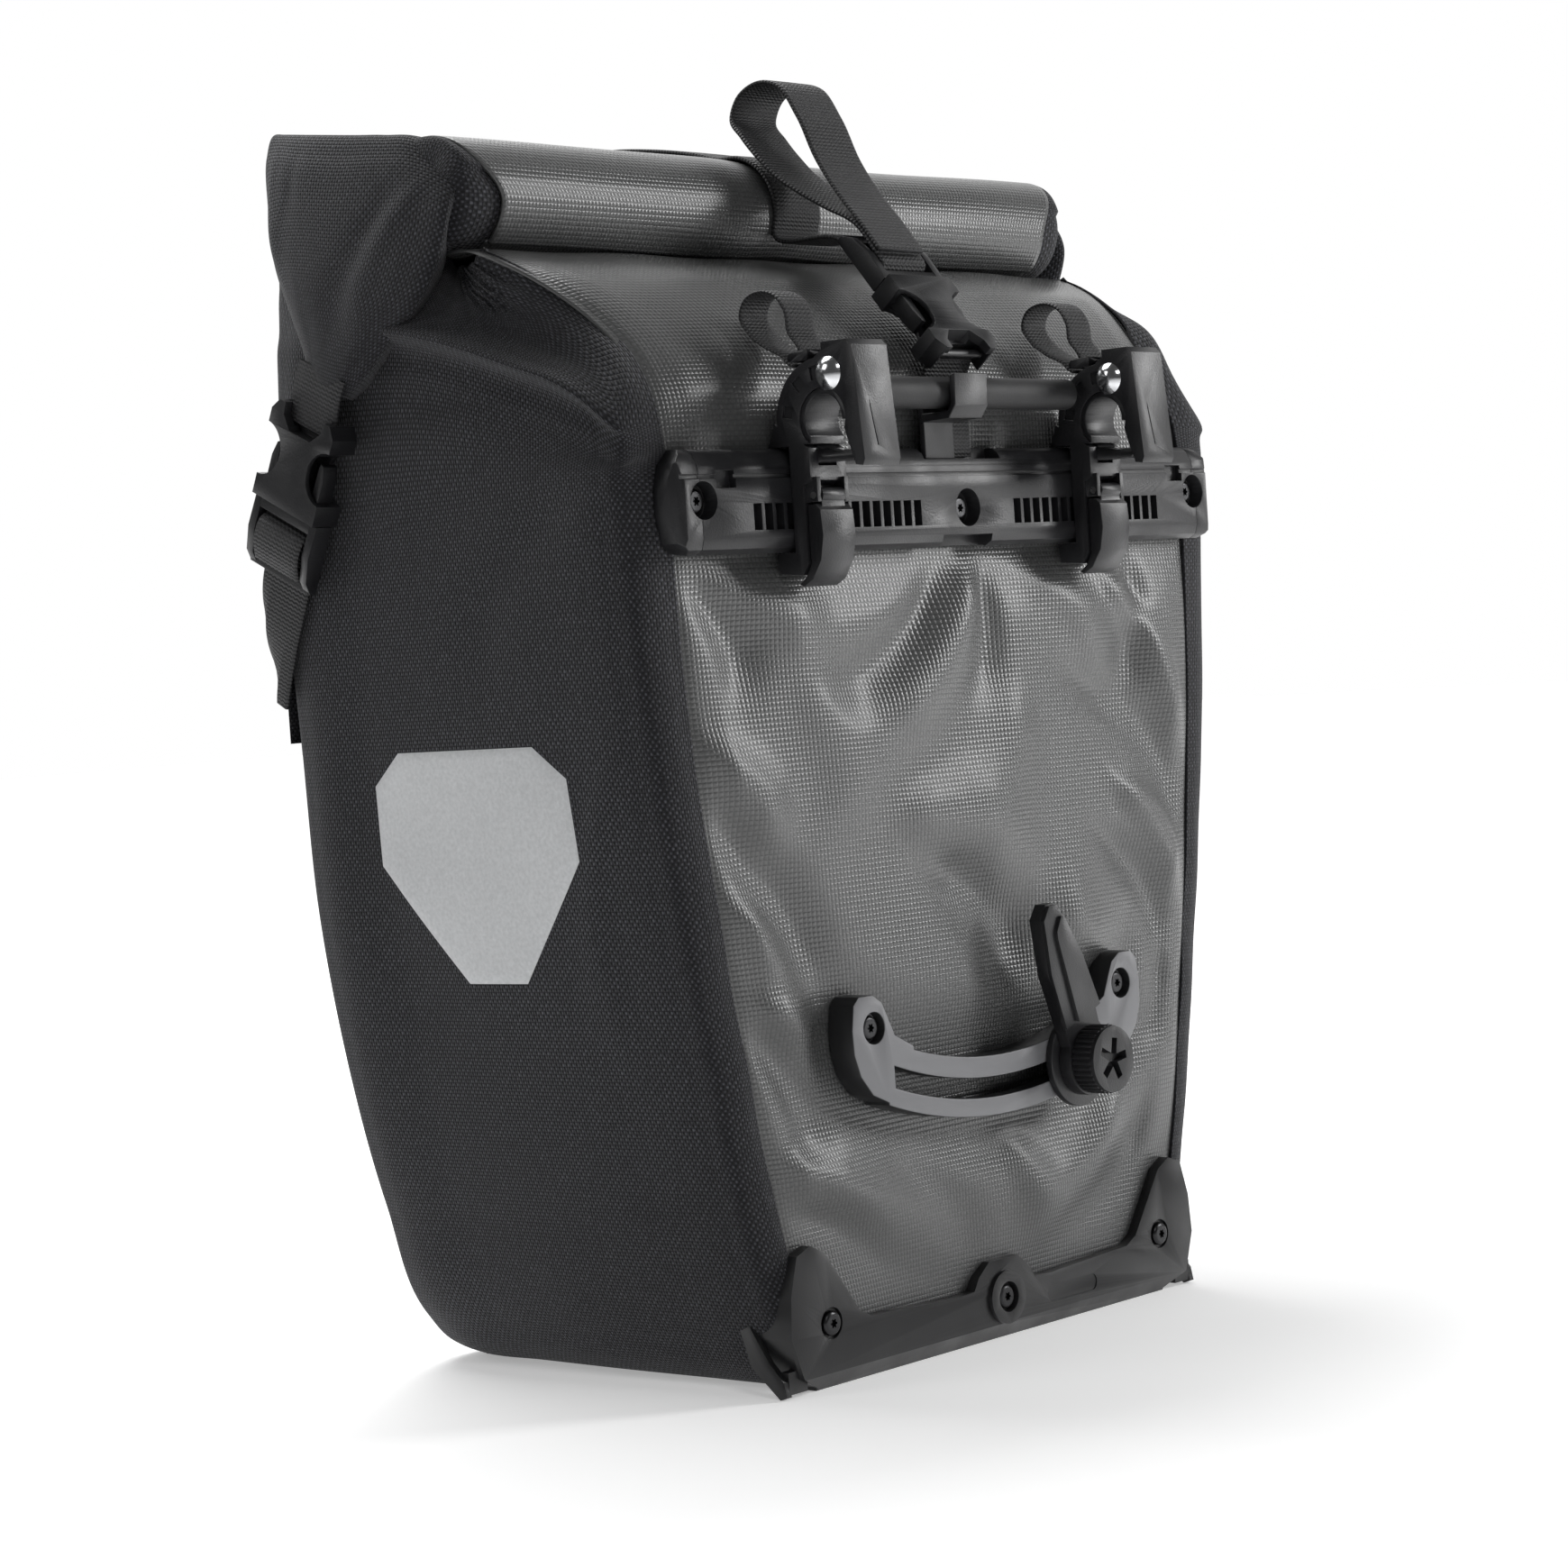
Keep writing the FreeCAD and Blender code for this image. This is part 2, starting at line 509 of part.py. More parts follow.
def hook_body(x):
    lo = x - HOOK_HALF
    hi = x + HOOK_HALF
    ring = rod(lo, SEAT_Y, SEAT_Z, (1, 0, 0), TUBE_R + HOOK_WALL, hi - lo)
    ring = ring.common(box(lo, hi, SEAT_Y - 5.0, SEAT_Y + 30.0, RAIL_TOP + GAP, SEAT_Z + 30.0))
    boss = rod(lo, RIVET_Y, RIVET_Z, (1, 0, 0), 8.0, hi - lo)
    front = prism_x(from_rail([(-17.0, 30.6), (-17.0, 33.0), (-28.0, 33.0), (-30.0, 31.0), (-30.6, 24.0),
                               (-33.0, -6.5), (-32.0, -8.5), (-29.0, -8.0), (-26.2, 0.0), (-22.0, 16.0)]),
                    lo, hi)
    foot = -RAIL_HEIGHT
    neck = prism_x(from_rail([(8.7, GAP), (5.5, 8.0), (-4.0, 2.0), (-9.0, -1.0), (-9.0, -11.5),
                              (-5.6, -13.0),
                              (-5.6, foot - 4.0), (-3.0, foot - 8.0), (7.0, foot - 7.0), (8.0, foot - GAP),
                              (-GAP, foot - GAP), (-GAP, GAP)]), lo, hi)
    body = ring.fuse(boss).fuse(front).fuse(neck)
    body = body.cut(rod(lo - 1, SEAT_Y, SEAT_Z, (1, 0, 0), TUBE_R, hi - lo + 2))
    body = body.cut(box(lo - 1, hi + 1, RAIL_FRONT - 26.2, RAIL_FRONT - 9.0,
                        RAIL_TOP - 14.0, RAIL_TOP + 0.5))
    half = LATCH_HALF + 0.3
    room = rod(x - half, RIVET_Y, RIVET_Z, (1, 0, 0), 31.0, 2 * half)
    room = room.common(box(x - half, x + half, RAIL_FRONT - 25.6, RAIL_FRONT + 15.0,
                           RAIL_TOP - 14.0, RAIL_TOP + 30.3))
    body = body.cut(room)
    body = body.cut(box(x - half, x + half, RIVET_Y - 0.8, RIVET_Y + 3.0,
                        RAIL_TOP + 30.0, RAIL_TOP + 34.0))
    body = body.cut(rod(lo - 1, RIVET_Y, RIVET_Z, (1, 0, 0), RIVET_R + PIN_CLEAR, hi - lo + 2))
    ears = [box(x + s * 6.9 - 0.9, x + s * 6.9 + 0.9, LEVER_Y - 2.0, RAIL_FRONT - 5.0,
                LEVER_Z - 2.2, RAIL_TOP - 10.5) for s in (-1, 1)]
    body = body.fuse(ears[0]).fuse(ears[1])
    body = body.cut(rod(lo - 1, LEVER_Y, LEVER_Z, (1, 0, 0), PIN_R + PIN_CLEAR, hi - lo + 2))
    for side in (-1, 1):
        face = x + side * HOOK_HALF
        for angle in (12.0, 52.0, 82.0):
            a = math.radians(angle)
            y = SEAT_Y + 15.2 * math.cos(a)
            z = SEAT_Z + 15.2 * math.sin(a)
            pocket = box(face - 0.8, face + 0.8, y - 2.2, y + 2.2, z - 2.0, z + 2.0)
            pocket.rotate(V(face, y, z), V(1, 0, 0), angle)
            body = body.cut(pocket)
    groove = prism_y([(x - 4.6, RAIL_TOP + 19.0), (x - 4.0, RAIL_TOP + 19.0),
                      (x - 1.2, RAIL_TOP - 2.0), (x - 1.6, RAIL_TOP - 2.0)],
                     RAIL_FRONT - 35.0, RAIL_FRONT - 31.4)
    return body.cut(groove)


def hook_liner(x):
    """Plastic insert that narrows the seat for a thinner rack tube."""
    lo = x - HOOK_HALF + 0.5
    hi = x + HOOK_HALF - 0.5
    ring = rod(lo, SEAT_Y, SEAT_Z, (1, 0, 0), TUBE_R - 0.03, hi - lo)
    ring = ring.cut(rod(lo - 1, SEAT_Y, SEAT_Z, (1, 0, 0), LINER_R, hi - lo + 2))
    ring = ring.cut(box(lo - 1, hi + 1, SEAT_Y - 12.0, SEAT_Y + 6.0, SEAT_Z - 12.0, SEAT_Z - 1.0))
    return ring


def latch(x):
    """Inner lever: hub on the rivet, jaw under the rack tube, strap bar at the back."""
    half = LATCH_HALF
    hub = rod(x - half, RIVET_Y, RIVET_Z, (1, 0, 0), 4.3, 2 * half)
    sweep = rod(x - half, SEAT_Y, SEAT_Z, (1, 0, 0), 16.0, 2 * half)
    sweep = sweep.cut(rod(x - half - 1, SEAT_Y, SEAT_Z, (1, 0, 0), 10.8, 2 * half + 2))
    sweep = sweep.common(prism_x([(SEAT_Y, SEAT_Z), (SEAT_Y - 3.0, SEAT_Z + 20.0),
                                  (SEAT_Y + 20.0, SEAT_Z + 20.0), (SEAT_Y + 20.0, SEAT_Z - 8.0),
                                  (SEAT_Y + 9.5, SEAT_Z - 17.0)], x - half, x + half))
    jaw = prism_x(from_rail([(-10.7, -1.4), (-6.5, -2.0), (-7.7, -5.7), (-23.8, -5.7), (-25.2, -4.2),
                             (-24.5, -2.7), (-15.7, -2.7)]), x - half, x + half)
    rib = prism_x(from_rail([(-19.3, 24.5), (-13.0, 25.5), (-8.2, 27.6), (-8.2, 30.0), (-13.0, 30.0),
                             (-19.3, 28.6)]), x - half, x + half)
    bar_y = RAIL_FRONT - 3.6
    bar_z = RAIL_TOP + 29.0
    web = prism_x(from_rail([(-11.0, 27.8), (-7.4, 27.8), (-7.4, 31.2), (-11.0, 31.2)]),
                  x - HOOK_HALF, x + HOOK_HALF)
    bar = rod(x - HOOK_HALF, bar_y, bar_z, (1, 0, 0), 1.5, 2 * HOOK_HALF)
    lever = hub.fuse(sweep).fuse(jaw).fuse(rib).fuse(web).fuse(bar)
    for side in (-1, 1):
        x0 = x + side * (LOOP_W / 2 + 0.4)
        x1 = x + side * HOOK_HALF
        cheek = from_rail([(-8.0, 27.8), (-3.6, 27.5), (-2.4, 29.0), (-3.6, 30.5), (-8.0, 31.2)])
        lever = lever.fuse(prism_x(cheek, min(x0, x1), max(x0, x1)))
    return lever.cut(rod(x - HOOK_HALF - 1, RIVET_Y, RIVET_Z, (1, 0, 0), RIVET_R + PIN_CLEAR,
                         2 * HOOK_HALF + 2))


def rivet(x):
    reach = HOOK_HALF + PIN_CLEAR
    shank = rod(x - reach, RIVET_Y, RIVET_Z, (1, 0, 0), RIVET_R, 2 * reach)
    for side in (-1, 1):
        height = 2.8
        ball = (RIVET_HEAD_R ** 2 + height ** 2) / (2 * height)
        dome = Part.makeSphere(ball, V(x + side * (reach + height - ball), RIVET_Y, RIVET_Z))
        x0 = x + side * reach
        x1 = x0 + side * (height + 1.0)
        dome = dome.common(box(min(x0, x1), max(x0, x1), RIVET_Y - 9, RIVET_Y + 9,
                               RIVET_Z - 9, RIVET_Z + 9))
        shank = shank.fuse(dome)
    return shank


def clamp_lever(x):
    """Curved lever under the hook that locks it on the rail."""
    lo = x - HOOK_HALF + 0.8
    hi = x + HOOK_HALF - 0.8
    lever = prism_x(from_rail([(-9.6, -19.5), (-11.6, -21.5), (-12.2, -30.0), (-10.6, -38.0), (-6.6, -44.0),
                               (-2.5, -46.2), (-0.6, -45.4), (-3.6, -43.2), (-6.3, -39.0),
                               (-6.3, -19.5)]), lo, hi)
    knuckle = rod(x - 5.7, LEVER_Y, LEVER_Z, (1, 0, 0), 2.6, 11.4)
    link = box(x - 5.7, x + 5.7, LEVER_Y - 1.8, LEVER_Y + 2.2, LEVER_Z - 4.0, LEVER_Z)
    lever = lever.fuse(knuckle).fuse(link)
    return lever.cut(rod(x - 10, LEVER_Y, LEVER_Z, (1, 0, 0), PIN_R + PIN_CLEAR, 20.0))


def pull_loop(x):
    """Webbing loop round the latch's strap bar."""
    points = from_rail([(-6.7, 29.0), (-5.2, 33.0), (-1.5, 38.0), (-1.0, 44.0), (3.0, 50.5), (10.5, 53.0),
                        (18.0, 50.5), (20.5, 45.0), (17.5, 39.5), (10.0, 33.5), (2.5, 29.5), (-0.8, 26.4),
                        (-3.3, 25.9)])
    return ribbon(points, LOOP_W / 2, 1.2, side=-1.0, x=x)


def make_hooks():
    for x, tag in zip(HOOK_X, ("left", "right")):
        keep("hook_body_" + tag, hook_body(x))
        keep("hook_insert_" + tag, hook_liner(x))
        keep("latch_" + tag, latch(x))
        keep("rivet_" + tag, rivet(x))
        keep("clamp_lever_" + tag, clamp_lever(x))
        keep("clamp_pin_" + tag, rod(x - 7.8, LEVER_Y, LEVER_Z, (1, 0, 0), PIN_R, 15.6))
        keep("pull_loop_" + tag, pull_loop(x))


def make_handle():
    x0 = HOOK_X[0] + HOOK_HALF + GRIP_SPACE
    x1 = HOOK_X[1] - HOOK_HALF - GRIP_SPACE
    grip = rod(x0, GRIP_Y, GRIP_Z, (1, 0, 0), GRIP_R, x1 - x0)
    keep("handle_grip", grip.cut(rod(x0 - 1, GRIP_Y, GRIP_Z, (1, 0, 0), GRIP_BORE, x1 - x0 + 2)))
    keep("handle_webbing", box(x0 - 1.5, x1 + 1.5, GRIP_Y - 2.8, GRIP_Y + 2.8,
                               GRIP_Z - 1.5, GRIP_Z + 1.5))
    lo = CLIP_X - CLIP_HALF
    hi = CLIP_X + CLIP_HALF
    back = GRIP_Y + GRIP_R + 1.2
    clip = prism_x([(back, RAIL_TOP - 3.9), (back, GRIP_Z + 1.0), (back + 2.2, GRIP_Z + 1.0),
                    (back + 2.2, RAIL_TOP - 3.9)], lo + 1.0, hi - 1.0)
    floor = prism_x([(back + 1.0, GRIP_Z - 9.5), (back, GRIP_Z - 6.6), (GRIP_Y - 5.0, GRIP_Z - 6.6),
                     (GRIP_Y - 6.6, GRIP_Z - 4.0), (GRIP_Y - 6.6, GRIP_Z + 5.5),
                     (GRIP_Y - 9.0, GRIP_Z + 6.2),
                     (GRIP_Y - 8.6, GRIP_Z - 5.0), (GRIP_Y - 5.5, GRIP_Z - 9.2)], lo, hi)
    keep("handle_clip", clip.fuse(floor))


# ------------------------------------------------------------------ lower swivelling hook
def make_lower_hook():
    z = ARC_Z - math.sqrt(ARC_R ** 2 - KNOB_X ** 2)
    back = ARC_FRONT - GAP
    shoe = rod(KNOB_X, RACK_Y - 0.8, z, (0, -1, 0), ARC_SLOT / 2 + 2.4, 2.8)
    stem = rod(KNOB_X, RACK_Y - 3.5, z, (0, -1, 0), ARC_SLOT / 2 - 0.3, RACK_Y - 3.5 - back)
    flange = rod(KNOB_X, back, z, (0, -1, 0), FLANGE_R, FLANGE_T)
    bolt = rod(KNOB_X, back, z, (0, -1, 0), BOLT_R, FLANGE_T + BLADE_T + KNOB_H - 4.5)
    keep("lower_hook_slider", shoe.fuse(stem).fuse(flange).fuse(bolt))
    blade_back = back - FLANGE_T - GAP
    hub = rod(KNOB_X, blade_back, z, (0, -1, 0), 13.0, BLADE_T)
    arm = prism_y([(KNOB_X - 9.0, z + 6.0), (KNOB_X + 9.0, z + 6.0), (KNOB_X + 10.5, z + 18.0),
                   (KNOB_X + 9.2, z + 38.0), (KNOB_X + 5.4, z + BLADE_LEN - 1.5),
                   (KNOB_X + 1.0, z + BLADE_LEN), (KNOB_X - 4.4, z + BLADE_LEN - 3.6),
                   (KNOB_X - 9.0, z + 38.0)], blade_back - BLADE_T, blade_back)
    face = blade_back - BLADE_T
    pad = prism_y([(KNOB_X - 3.6, z + 17.0), (KNOB_X + 10.0, z + 17.0), (KNOB_X + 9.0, z + 37.5),
                   (KNOB_X + 5.6, z + 54.0), (KNOB_X + 4.2, z + 55.0), (KNOB_X - 0.4, z + 51.0),
                   (KNOB_X - 1.2, z + 48.5)], face - 1.3, face)
    edge = prism_y([(KNOB_X - 9.8, z + 17.0), (KNOB_X + 10.4, z + 17.0), (KNOB_X + 9.0, z + 38.0),
                    (KNOB_X + 5.2, z + BLADE_LEN - 2.0), (KNOB_X + 1.0, z + BLADE_LEN - 0.6),
                    (KNOB_X - 4.0, z + BLADE_LEN - 4.2), (KNOB_X - 8.8, z + 38.0)], face - 1.5, face)
    blade = hub.fuse(arm).fuse(edge)
    pad.translate(V(0, -1.5, 0))
    blade = blade.fuse(pad)
    blade = blade.cut(rod(KNOB_X, blade_back + 1, z, (0, -1, 0), BOLT_R + BOLT_CLEAR, 20.0))
    blade.rotate(V(KNOB_X, 0, z), V(0, 1, 0), -BLADE_TILT)
    keep("lower_hook_blade", blade)
    knob_back = blade_back - BLADE_T - GAP
    knob = rod(KNOB_X, knob_back, z, (0, -1, 0), KNOB_R - 0.6, KNOB_H)
    for k in range(36):
        a = math.radians(10 * k)
        tooth = rod(KNOB_X + (KNOB_R - 0.9) * math.cos(a), knob_back, z + (KNOB_R - 0.9) * math.sin(a),
                    (0, -1, 0), 0.8, KNOB_H - 1.5)
        knob = knob.fuse(tooth)
    face = knob_back - KNOB_H
    for k in range(5):
        arm = box(KNOB_X - 1.5, KNOB_X + 1.5, face - 1.0, face + 3.2, z - 1.0, z + 7.6)
        arm.rotate(V(KNOB_X, 0, z), V(0, 1, 0), 72.0 * k + 10.0)
        knob = knob.cut(arm)
    room = rod(KNOB_X, knob_back + 1, z, (0, -1, 0), BOLT_R + BOLT_CLEAR, KNOB_H - 3.2)
    keep("lower_hook_knob", knob.cut(room))


# ------------------------------------------------------------------ buckles and straps
def female_buckle():
    """Socket: mouth at along = 0, waist with open sides, webbing bar at the far end."""
    w = BUCKLE_W / 2
    corner = 3.0
    outline = [V(-w, 0, 0), V(w, 0, 0), V(w, -FEMALE_L + corner + 1.0, 0), V(w - corner, -FEMALE_L, 0),
               V(-w + corner, -FEMALE_L, 0), V(-w, -FEMALE_L + corner + 1.0, 0), V(-w, 0, 0)]
    shell = Part.Face(Part.makePolygon(outline)).extrude(V(0, 0, BUCKLE_T))
    cave = Part.makeBox(2 * w - 4.8, PRONG_L + 2.0, BUCKLE_T - 3.6, V(-w + 2.4, -PRONG_L - 2.0, 1.8))
    cave = cave.fuse(Part.makeBox(2 * w - 4.8, 1.0, BUCKLE_T - 3.6, V(-w + 2.4, 0, 1.8)))
    shell = shell.cut(cave)
    radius = 9.4
    for side in (-1, 1):
        centre = V(side * (7.4 + radius), -7.2 - radius, -1)
        shell = shell.cut(Part.makeCylinder(radius, BUCKLE_T + 2, centre))
    web_slot = Part.makeBox(WEB_W + 0.4, 8.0, BUCKLE_T - 2.2, V(-WEB_W / 2 - 0.2, -FEMALE_L - 1.0, -1))
    shell = shell.cut(web_slot)
    notch = [V(-10.5, -FEMALE_L - 1.0, 0), V(10.5, -FEMALE_L - 1.0, 0), V(10.0, -FEMALE_L + 4.0, 0),
             V(5.5, -FEMALE_L + 8.6, 0), V(-5.5, -FEMALE_L + 8.6, 0), V(-10.0, -FEMALE_L + 4.0, 0),
             V(-10.5, -FEMALE_L - 1.0, 0)]
    upper_half = Part.Face(Part.makePolygon(notch)).extrude(V(0, 0, BUCKLE_T))
    upper_half.translate(V(0, 0, BUCKLE_T / 2))
    shell = shell.cut(upper_half)
    bar = Part.makeCylinder(1.5, WEB_W + 1.0, V(-WEB_W / 2 - 0.5, -FEMALE_L + 3.6, 4.2), V(1, 0, 0))
    return shell.fuse(bar)


def male_buckle():
    """Plug with two sprung prongs, a guide and a ladder lock."""
    w = BUCKLE_W / 2
    start = GAP
    rail_w = 3.4
    prong_h = BUCKLE_T - 3.6 - 1.2
    plate = Part.makeBox(2 * w, 3.7, 7.0, V(-w, start, 2.0))
    for side in (-1, 1):
        x0 = side * (w - rail_w)
        profile = [V(x0, start, 2.0), V(x0, start, 9.0), V(x0, 12.0, 9.4), V(x0, 21.0, 7.6),
                   V(x0, MALE_L, 4.6), V(x0, MALE_L, 2.0), V(x0, start, 2.0)]
        plate = plate.fuse(Part.Face(Part.makePolygon(profile)).extrude(V(side * rail_w, 0, 0)))
        prong = [V(side * 9.8, start + 1.0, 2.4), V(side * 13.8, start + 1.0, 2.4),
                 V(side * 13.8, -15.0, 2.4), V(side * 12.4, -PRONG_L + 1.0, 2.4),
                 V(side * 11.2, -PRONG_L + start, 2.4),
                 V(side * 10.6, -PRONG_L + 2.0, 2.4), V(side * 9.8, start + 1.0, 2.4)]
        plate = plate.fuse(Part.Face(Part.makePolygon(prong)).extrude(V(0, 0, prong_h)))
    for low, top, v0, v1 in ((5.5, 8.2, 10.5, 13.5), (2.1, 5.2, MALE_L - 3.4, MALE_L)):
        plate = plate.fuse(Part.makeBox(2 * w - 1.0, v1 - v0, top - low, V(-w + 0.5, v0, low)))
    return plate.fuse(Part.makeBox(5.0, PRONG_L - 3.0, prong_h, V(-2.5, -PRONG_L + 3.0 + start, 2.4)))


def make_top_buckle():
    along = (0, TOP_RISE[0], TOP_RISE[1])
    out = (0, -TOP_RISE[1], TOP_RISE[0])
    origin = (0, TOP_MOUTH[0], TOP_MOUTH[1])
    frame = ((1, 0, 0), along, out)
    keep("top_buckle_socket", placed(female_buckle(), origin, *frame))
    keep("top_buckle_plug", placed(male_buckle(), origin, *frame))

    def at(v, w):
        return (TOP_MOUTH[0] + v * TOP_RISE[0] - w * TOP_RISE[1],
                TOP_MOUTH[1] + v * TOP_RISE[1] + w * TOP_RISE[0])

    tab = [at(-FEMALE_L + 4.5, 0.6), (RACK_Y - 2.2, RAIL_TOP + 24.0), (RACK_Y - 1.6, RAIL_TOP + 16.0),
           (RACK_Y - 1.6, RAIL_TOP - 3.0)]
    keep("buckle_tab", ribbon(tab, WEB_W / 2 - 0.2, WEB_T, side=-1.0))

    def round_roll(degrees, lift=0.5):
        a = math.radians(degrees)
        return (ROLL_Y + (ROLL_RY + lift) * math.cos(a), ROLL_Z + (ROLL_RZ + lift) * math.sin(a))

    strap = [(OUTER_Y + 0.3, STRAP_ANCHOR_Z), (OUTER_Y + 0.3, BAG_TOP - 8.0),
             (OUTER_Y - 2.0, BAG_TOP - 2.0),
             (OUTER_Y - 10.0, BAG_TOP + 0.6), (ROLL_Y + 30.0, BAG_TOP + 0.6)]
    strap += [round_roll(d, 0.7) for d in (86, 106, 126, 146, 166, 186, 200)]
    strap += [at(MALE_L + 1.0, 0.2), at(9.0, 0.2)]
    keep("closure_strap", ribbon(strap, WEB_W / 2 - 0.2, WEB_T, side=-1.0))
    loop = [at(12.0, 9.9), at(MALE_L + 2.0, 10.2), (-45.5, 400.5), (-37.0, 406.0), (-31.0, 412.5),
            (-26.0, 421.5), (-18.0, 431.5), (-10.5, 439.0), (-11.0, 447.0), (-19.5, 452.0), (-29.5, 449.6),
            (-38.5, 437.0), (-46.5, 420.0), (-55.5, 406.5), at(MALE_L, 12.4), at(12.0, 12.2)]
    keep("strap_loop", ribbon(loop, WEB_W / 2 - 0.2, WEB_T, side=-1.0))


def make_side_buckle(side, tag):
    along = (0, SIDE_FALL[0], SIDE_FALL[1])
    out = (side, 0, 0)
    across = (0, SIDE_FALL[1] * side, -SIDE_FALL[0] * side)
    origin = (side * SIDE_X, SIDE_MOUTH[0], SIDE_MOUTH[1])
    frame = (across, along, out)
    keep("side_socket_" + tag, placed(female_buckle(), origin, *frame))
    keep("side_plug_" + tag, placed(male_buckle(), origin, *frame))
    half = WEB_W / 2 - 0.2
    upper = Part.makeBox(2 * half, 12.0, WEB_T, V(-half, -FEMALE_L - 6.0, 6.0))
    keep("ear_strap_" + tag, placed(upper, origin, *frame))
    reach = math.hypot(SIDE_ANCHOR[0] - SIDE_MOUTH[0], SIDE_ANCHOR[1] - SIDE_MOUTH[1])
    lower = Part.makeBox(2 * half, reach - MALE_L + 18.0, WEB_T, V(-half, MALE_L - 18.0, 0.2))
    trim = box(-200.0, 200.0, 0.0, OUTER_Y + WEB_T, 200.0, 400.0)
    keep("side_strap_" + tag, placed(lower, origin, *frame).common(trim))
    x0 = side * (TOP_HALF_OUTER - 34.0)
    x1 = side * (TOP_HALF_OUTER - 6.0)
    keep("strap_patch_" + tag, box(min(x0, x1), max(x0, x1), OUTER_Y + 0.05, OUTER_Y + WEB_T,
                                   SIDE_ANCHOR[1] - 14.0, SIDE_ANCHOR[1] + 11.0))


def main():
    bag = make_bag()
    make_roll()
    for side, tag in ((-1, "left"), (1, "right")):
        keep("ear_" + tag, make_ear(side, bag))
        keep("reflector_" + tag, make_reflector(side, bag))
        make_side_buckle(side, tag)
    make_inside()
    make_rail()
    make_lower_rail()
    make_protector(bag)
    make_hooks()
    make_handle()
    make_lower_hook()
    make_top_buckle()
    for name, shape in parts.items():
        shape.exportStep("parts/" + name + ".step")
    print(len(parts), "nodes")


main()
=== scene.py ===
import bpy
import bmesh
import json
import math
import numpy as np
from mathutils import Matrix, Vector
from mathutils.bvhtree import BVHTree

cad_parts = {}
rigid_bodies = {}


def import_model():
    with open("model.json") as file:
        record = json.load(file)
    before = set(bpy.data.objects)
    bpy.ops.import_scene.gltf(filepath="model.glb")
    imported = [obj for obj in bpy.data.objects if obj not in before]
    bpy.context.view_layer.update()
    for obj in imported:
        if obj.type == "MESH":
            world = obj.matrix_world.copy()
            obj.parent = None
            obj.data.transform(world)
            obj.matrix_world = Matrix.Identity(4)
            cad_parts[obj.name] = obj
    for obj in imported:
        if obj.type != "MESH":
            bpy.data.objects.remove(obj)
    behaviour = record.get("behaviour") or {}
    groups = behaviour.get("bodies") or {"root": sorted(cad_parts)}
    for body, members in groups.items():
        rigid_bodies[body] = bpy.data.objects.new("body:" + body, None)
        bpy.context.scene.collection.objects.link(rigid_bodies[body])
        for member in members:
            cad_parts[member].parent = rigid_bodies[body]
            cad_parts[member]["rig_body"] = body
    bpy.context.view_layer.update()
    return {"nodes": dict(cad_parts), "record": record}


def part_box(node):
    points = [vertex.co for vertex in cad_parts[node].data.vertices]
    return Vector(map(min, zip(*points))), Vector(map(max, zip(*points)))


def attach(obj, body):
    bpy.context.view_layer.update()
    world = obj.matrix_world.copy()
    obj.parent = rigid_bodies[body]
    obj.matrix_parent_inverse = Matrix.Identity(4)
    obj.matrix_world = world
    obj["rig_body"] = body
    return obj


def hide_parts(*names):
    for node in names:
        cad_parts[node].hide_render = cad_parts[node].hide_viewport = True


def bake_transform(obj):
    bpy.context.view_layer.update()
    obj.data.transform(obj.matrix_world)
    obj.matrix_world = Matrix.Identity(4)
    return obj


# Roll-top pannier bag. Lengths are in millimetres, and MM turns them to metres.
# The lamps, the floor, the camera's place and the scales of noise are in metres.
MM = 0.001
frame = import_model()
nodes = frame["nodes"]

# ------------------------------------------------------------------ materials


def new_material(name, rough=0.5, metal=0.0, color=None):
    mat = bpy.data.materials.new(name)
    mat.use_nodes = True
    tree = mat.node_tree
    bsdf = tree.nodes["Principled BSDF"]
    bsdf.inputs["Roughness"].default_value = rough
    bsdf.inputs["Metallic"].default_value = metal
    if color:
        bsdf.inputs["Base Color"].default_value = (*color, 1.0)
    return mat, tree, bsdf


def calc(tree, op, a, b=None, clamp=False):
    node = tree.nodes.new("ShaderNodeMath")
    node.operation = op
    node.use_clamp = clamp
    for socket, value in zip(node.inputs, (a, b)):
        if value is None:
            continue
        if isinstance(value, (int, float)):
            socket.default_value = value
        else:
            tree.links.new(value, socket)
    return node.outputs[0]


def noise(tree, scale, detail=2.0):
    coord = tree.nodes.new("ShaderNodeTexCoord")
    node = tree.nodes.new("ShaderNodeTexNoise")
    node.inputs["Scale"].default_value = scale
    node.inputs["Detail"].default_value = detail
    tree.links.new(coord.outputs["Object"], node.inputs["Vector"])
    return node.outputs["Fac"]


def ramp(tree, fac, stops):
    node = tree.nodes.new("ShaderNodeValToRGB")
    while len(node.color_ramp.elements) < len(stops):
        node.color_ramp.elements.new(0.5)
    for element, (place, color) in zip(node.color_ramp.elements, stops):
        element.position = place
        element.color = (*color, 1.0) if hasattr(color, "__len__") else (color, color, color, 1.0)
    tree.links.new(fac, node.inputs["Fac"])
    return node.outputs["Color"]


def bump(tree, bsdf, height, strength, distance):
    node = tree.nodes.new("ShaderNodeBump")
    node.inputs["Strength"].default_value = strength
    node.inputs["Distance"].default_value = distance
    tree.links.new(height, node.inputs["Height"])
    tree.links.new(node.outputs["Normal"], bsdf.inputs["Normal"])


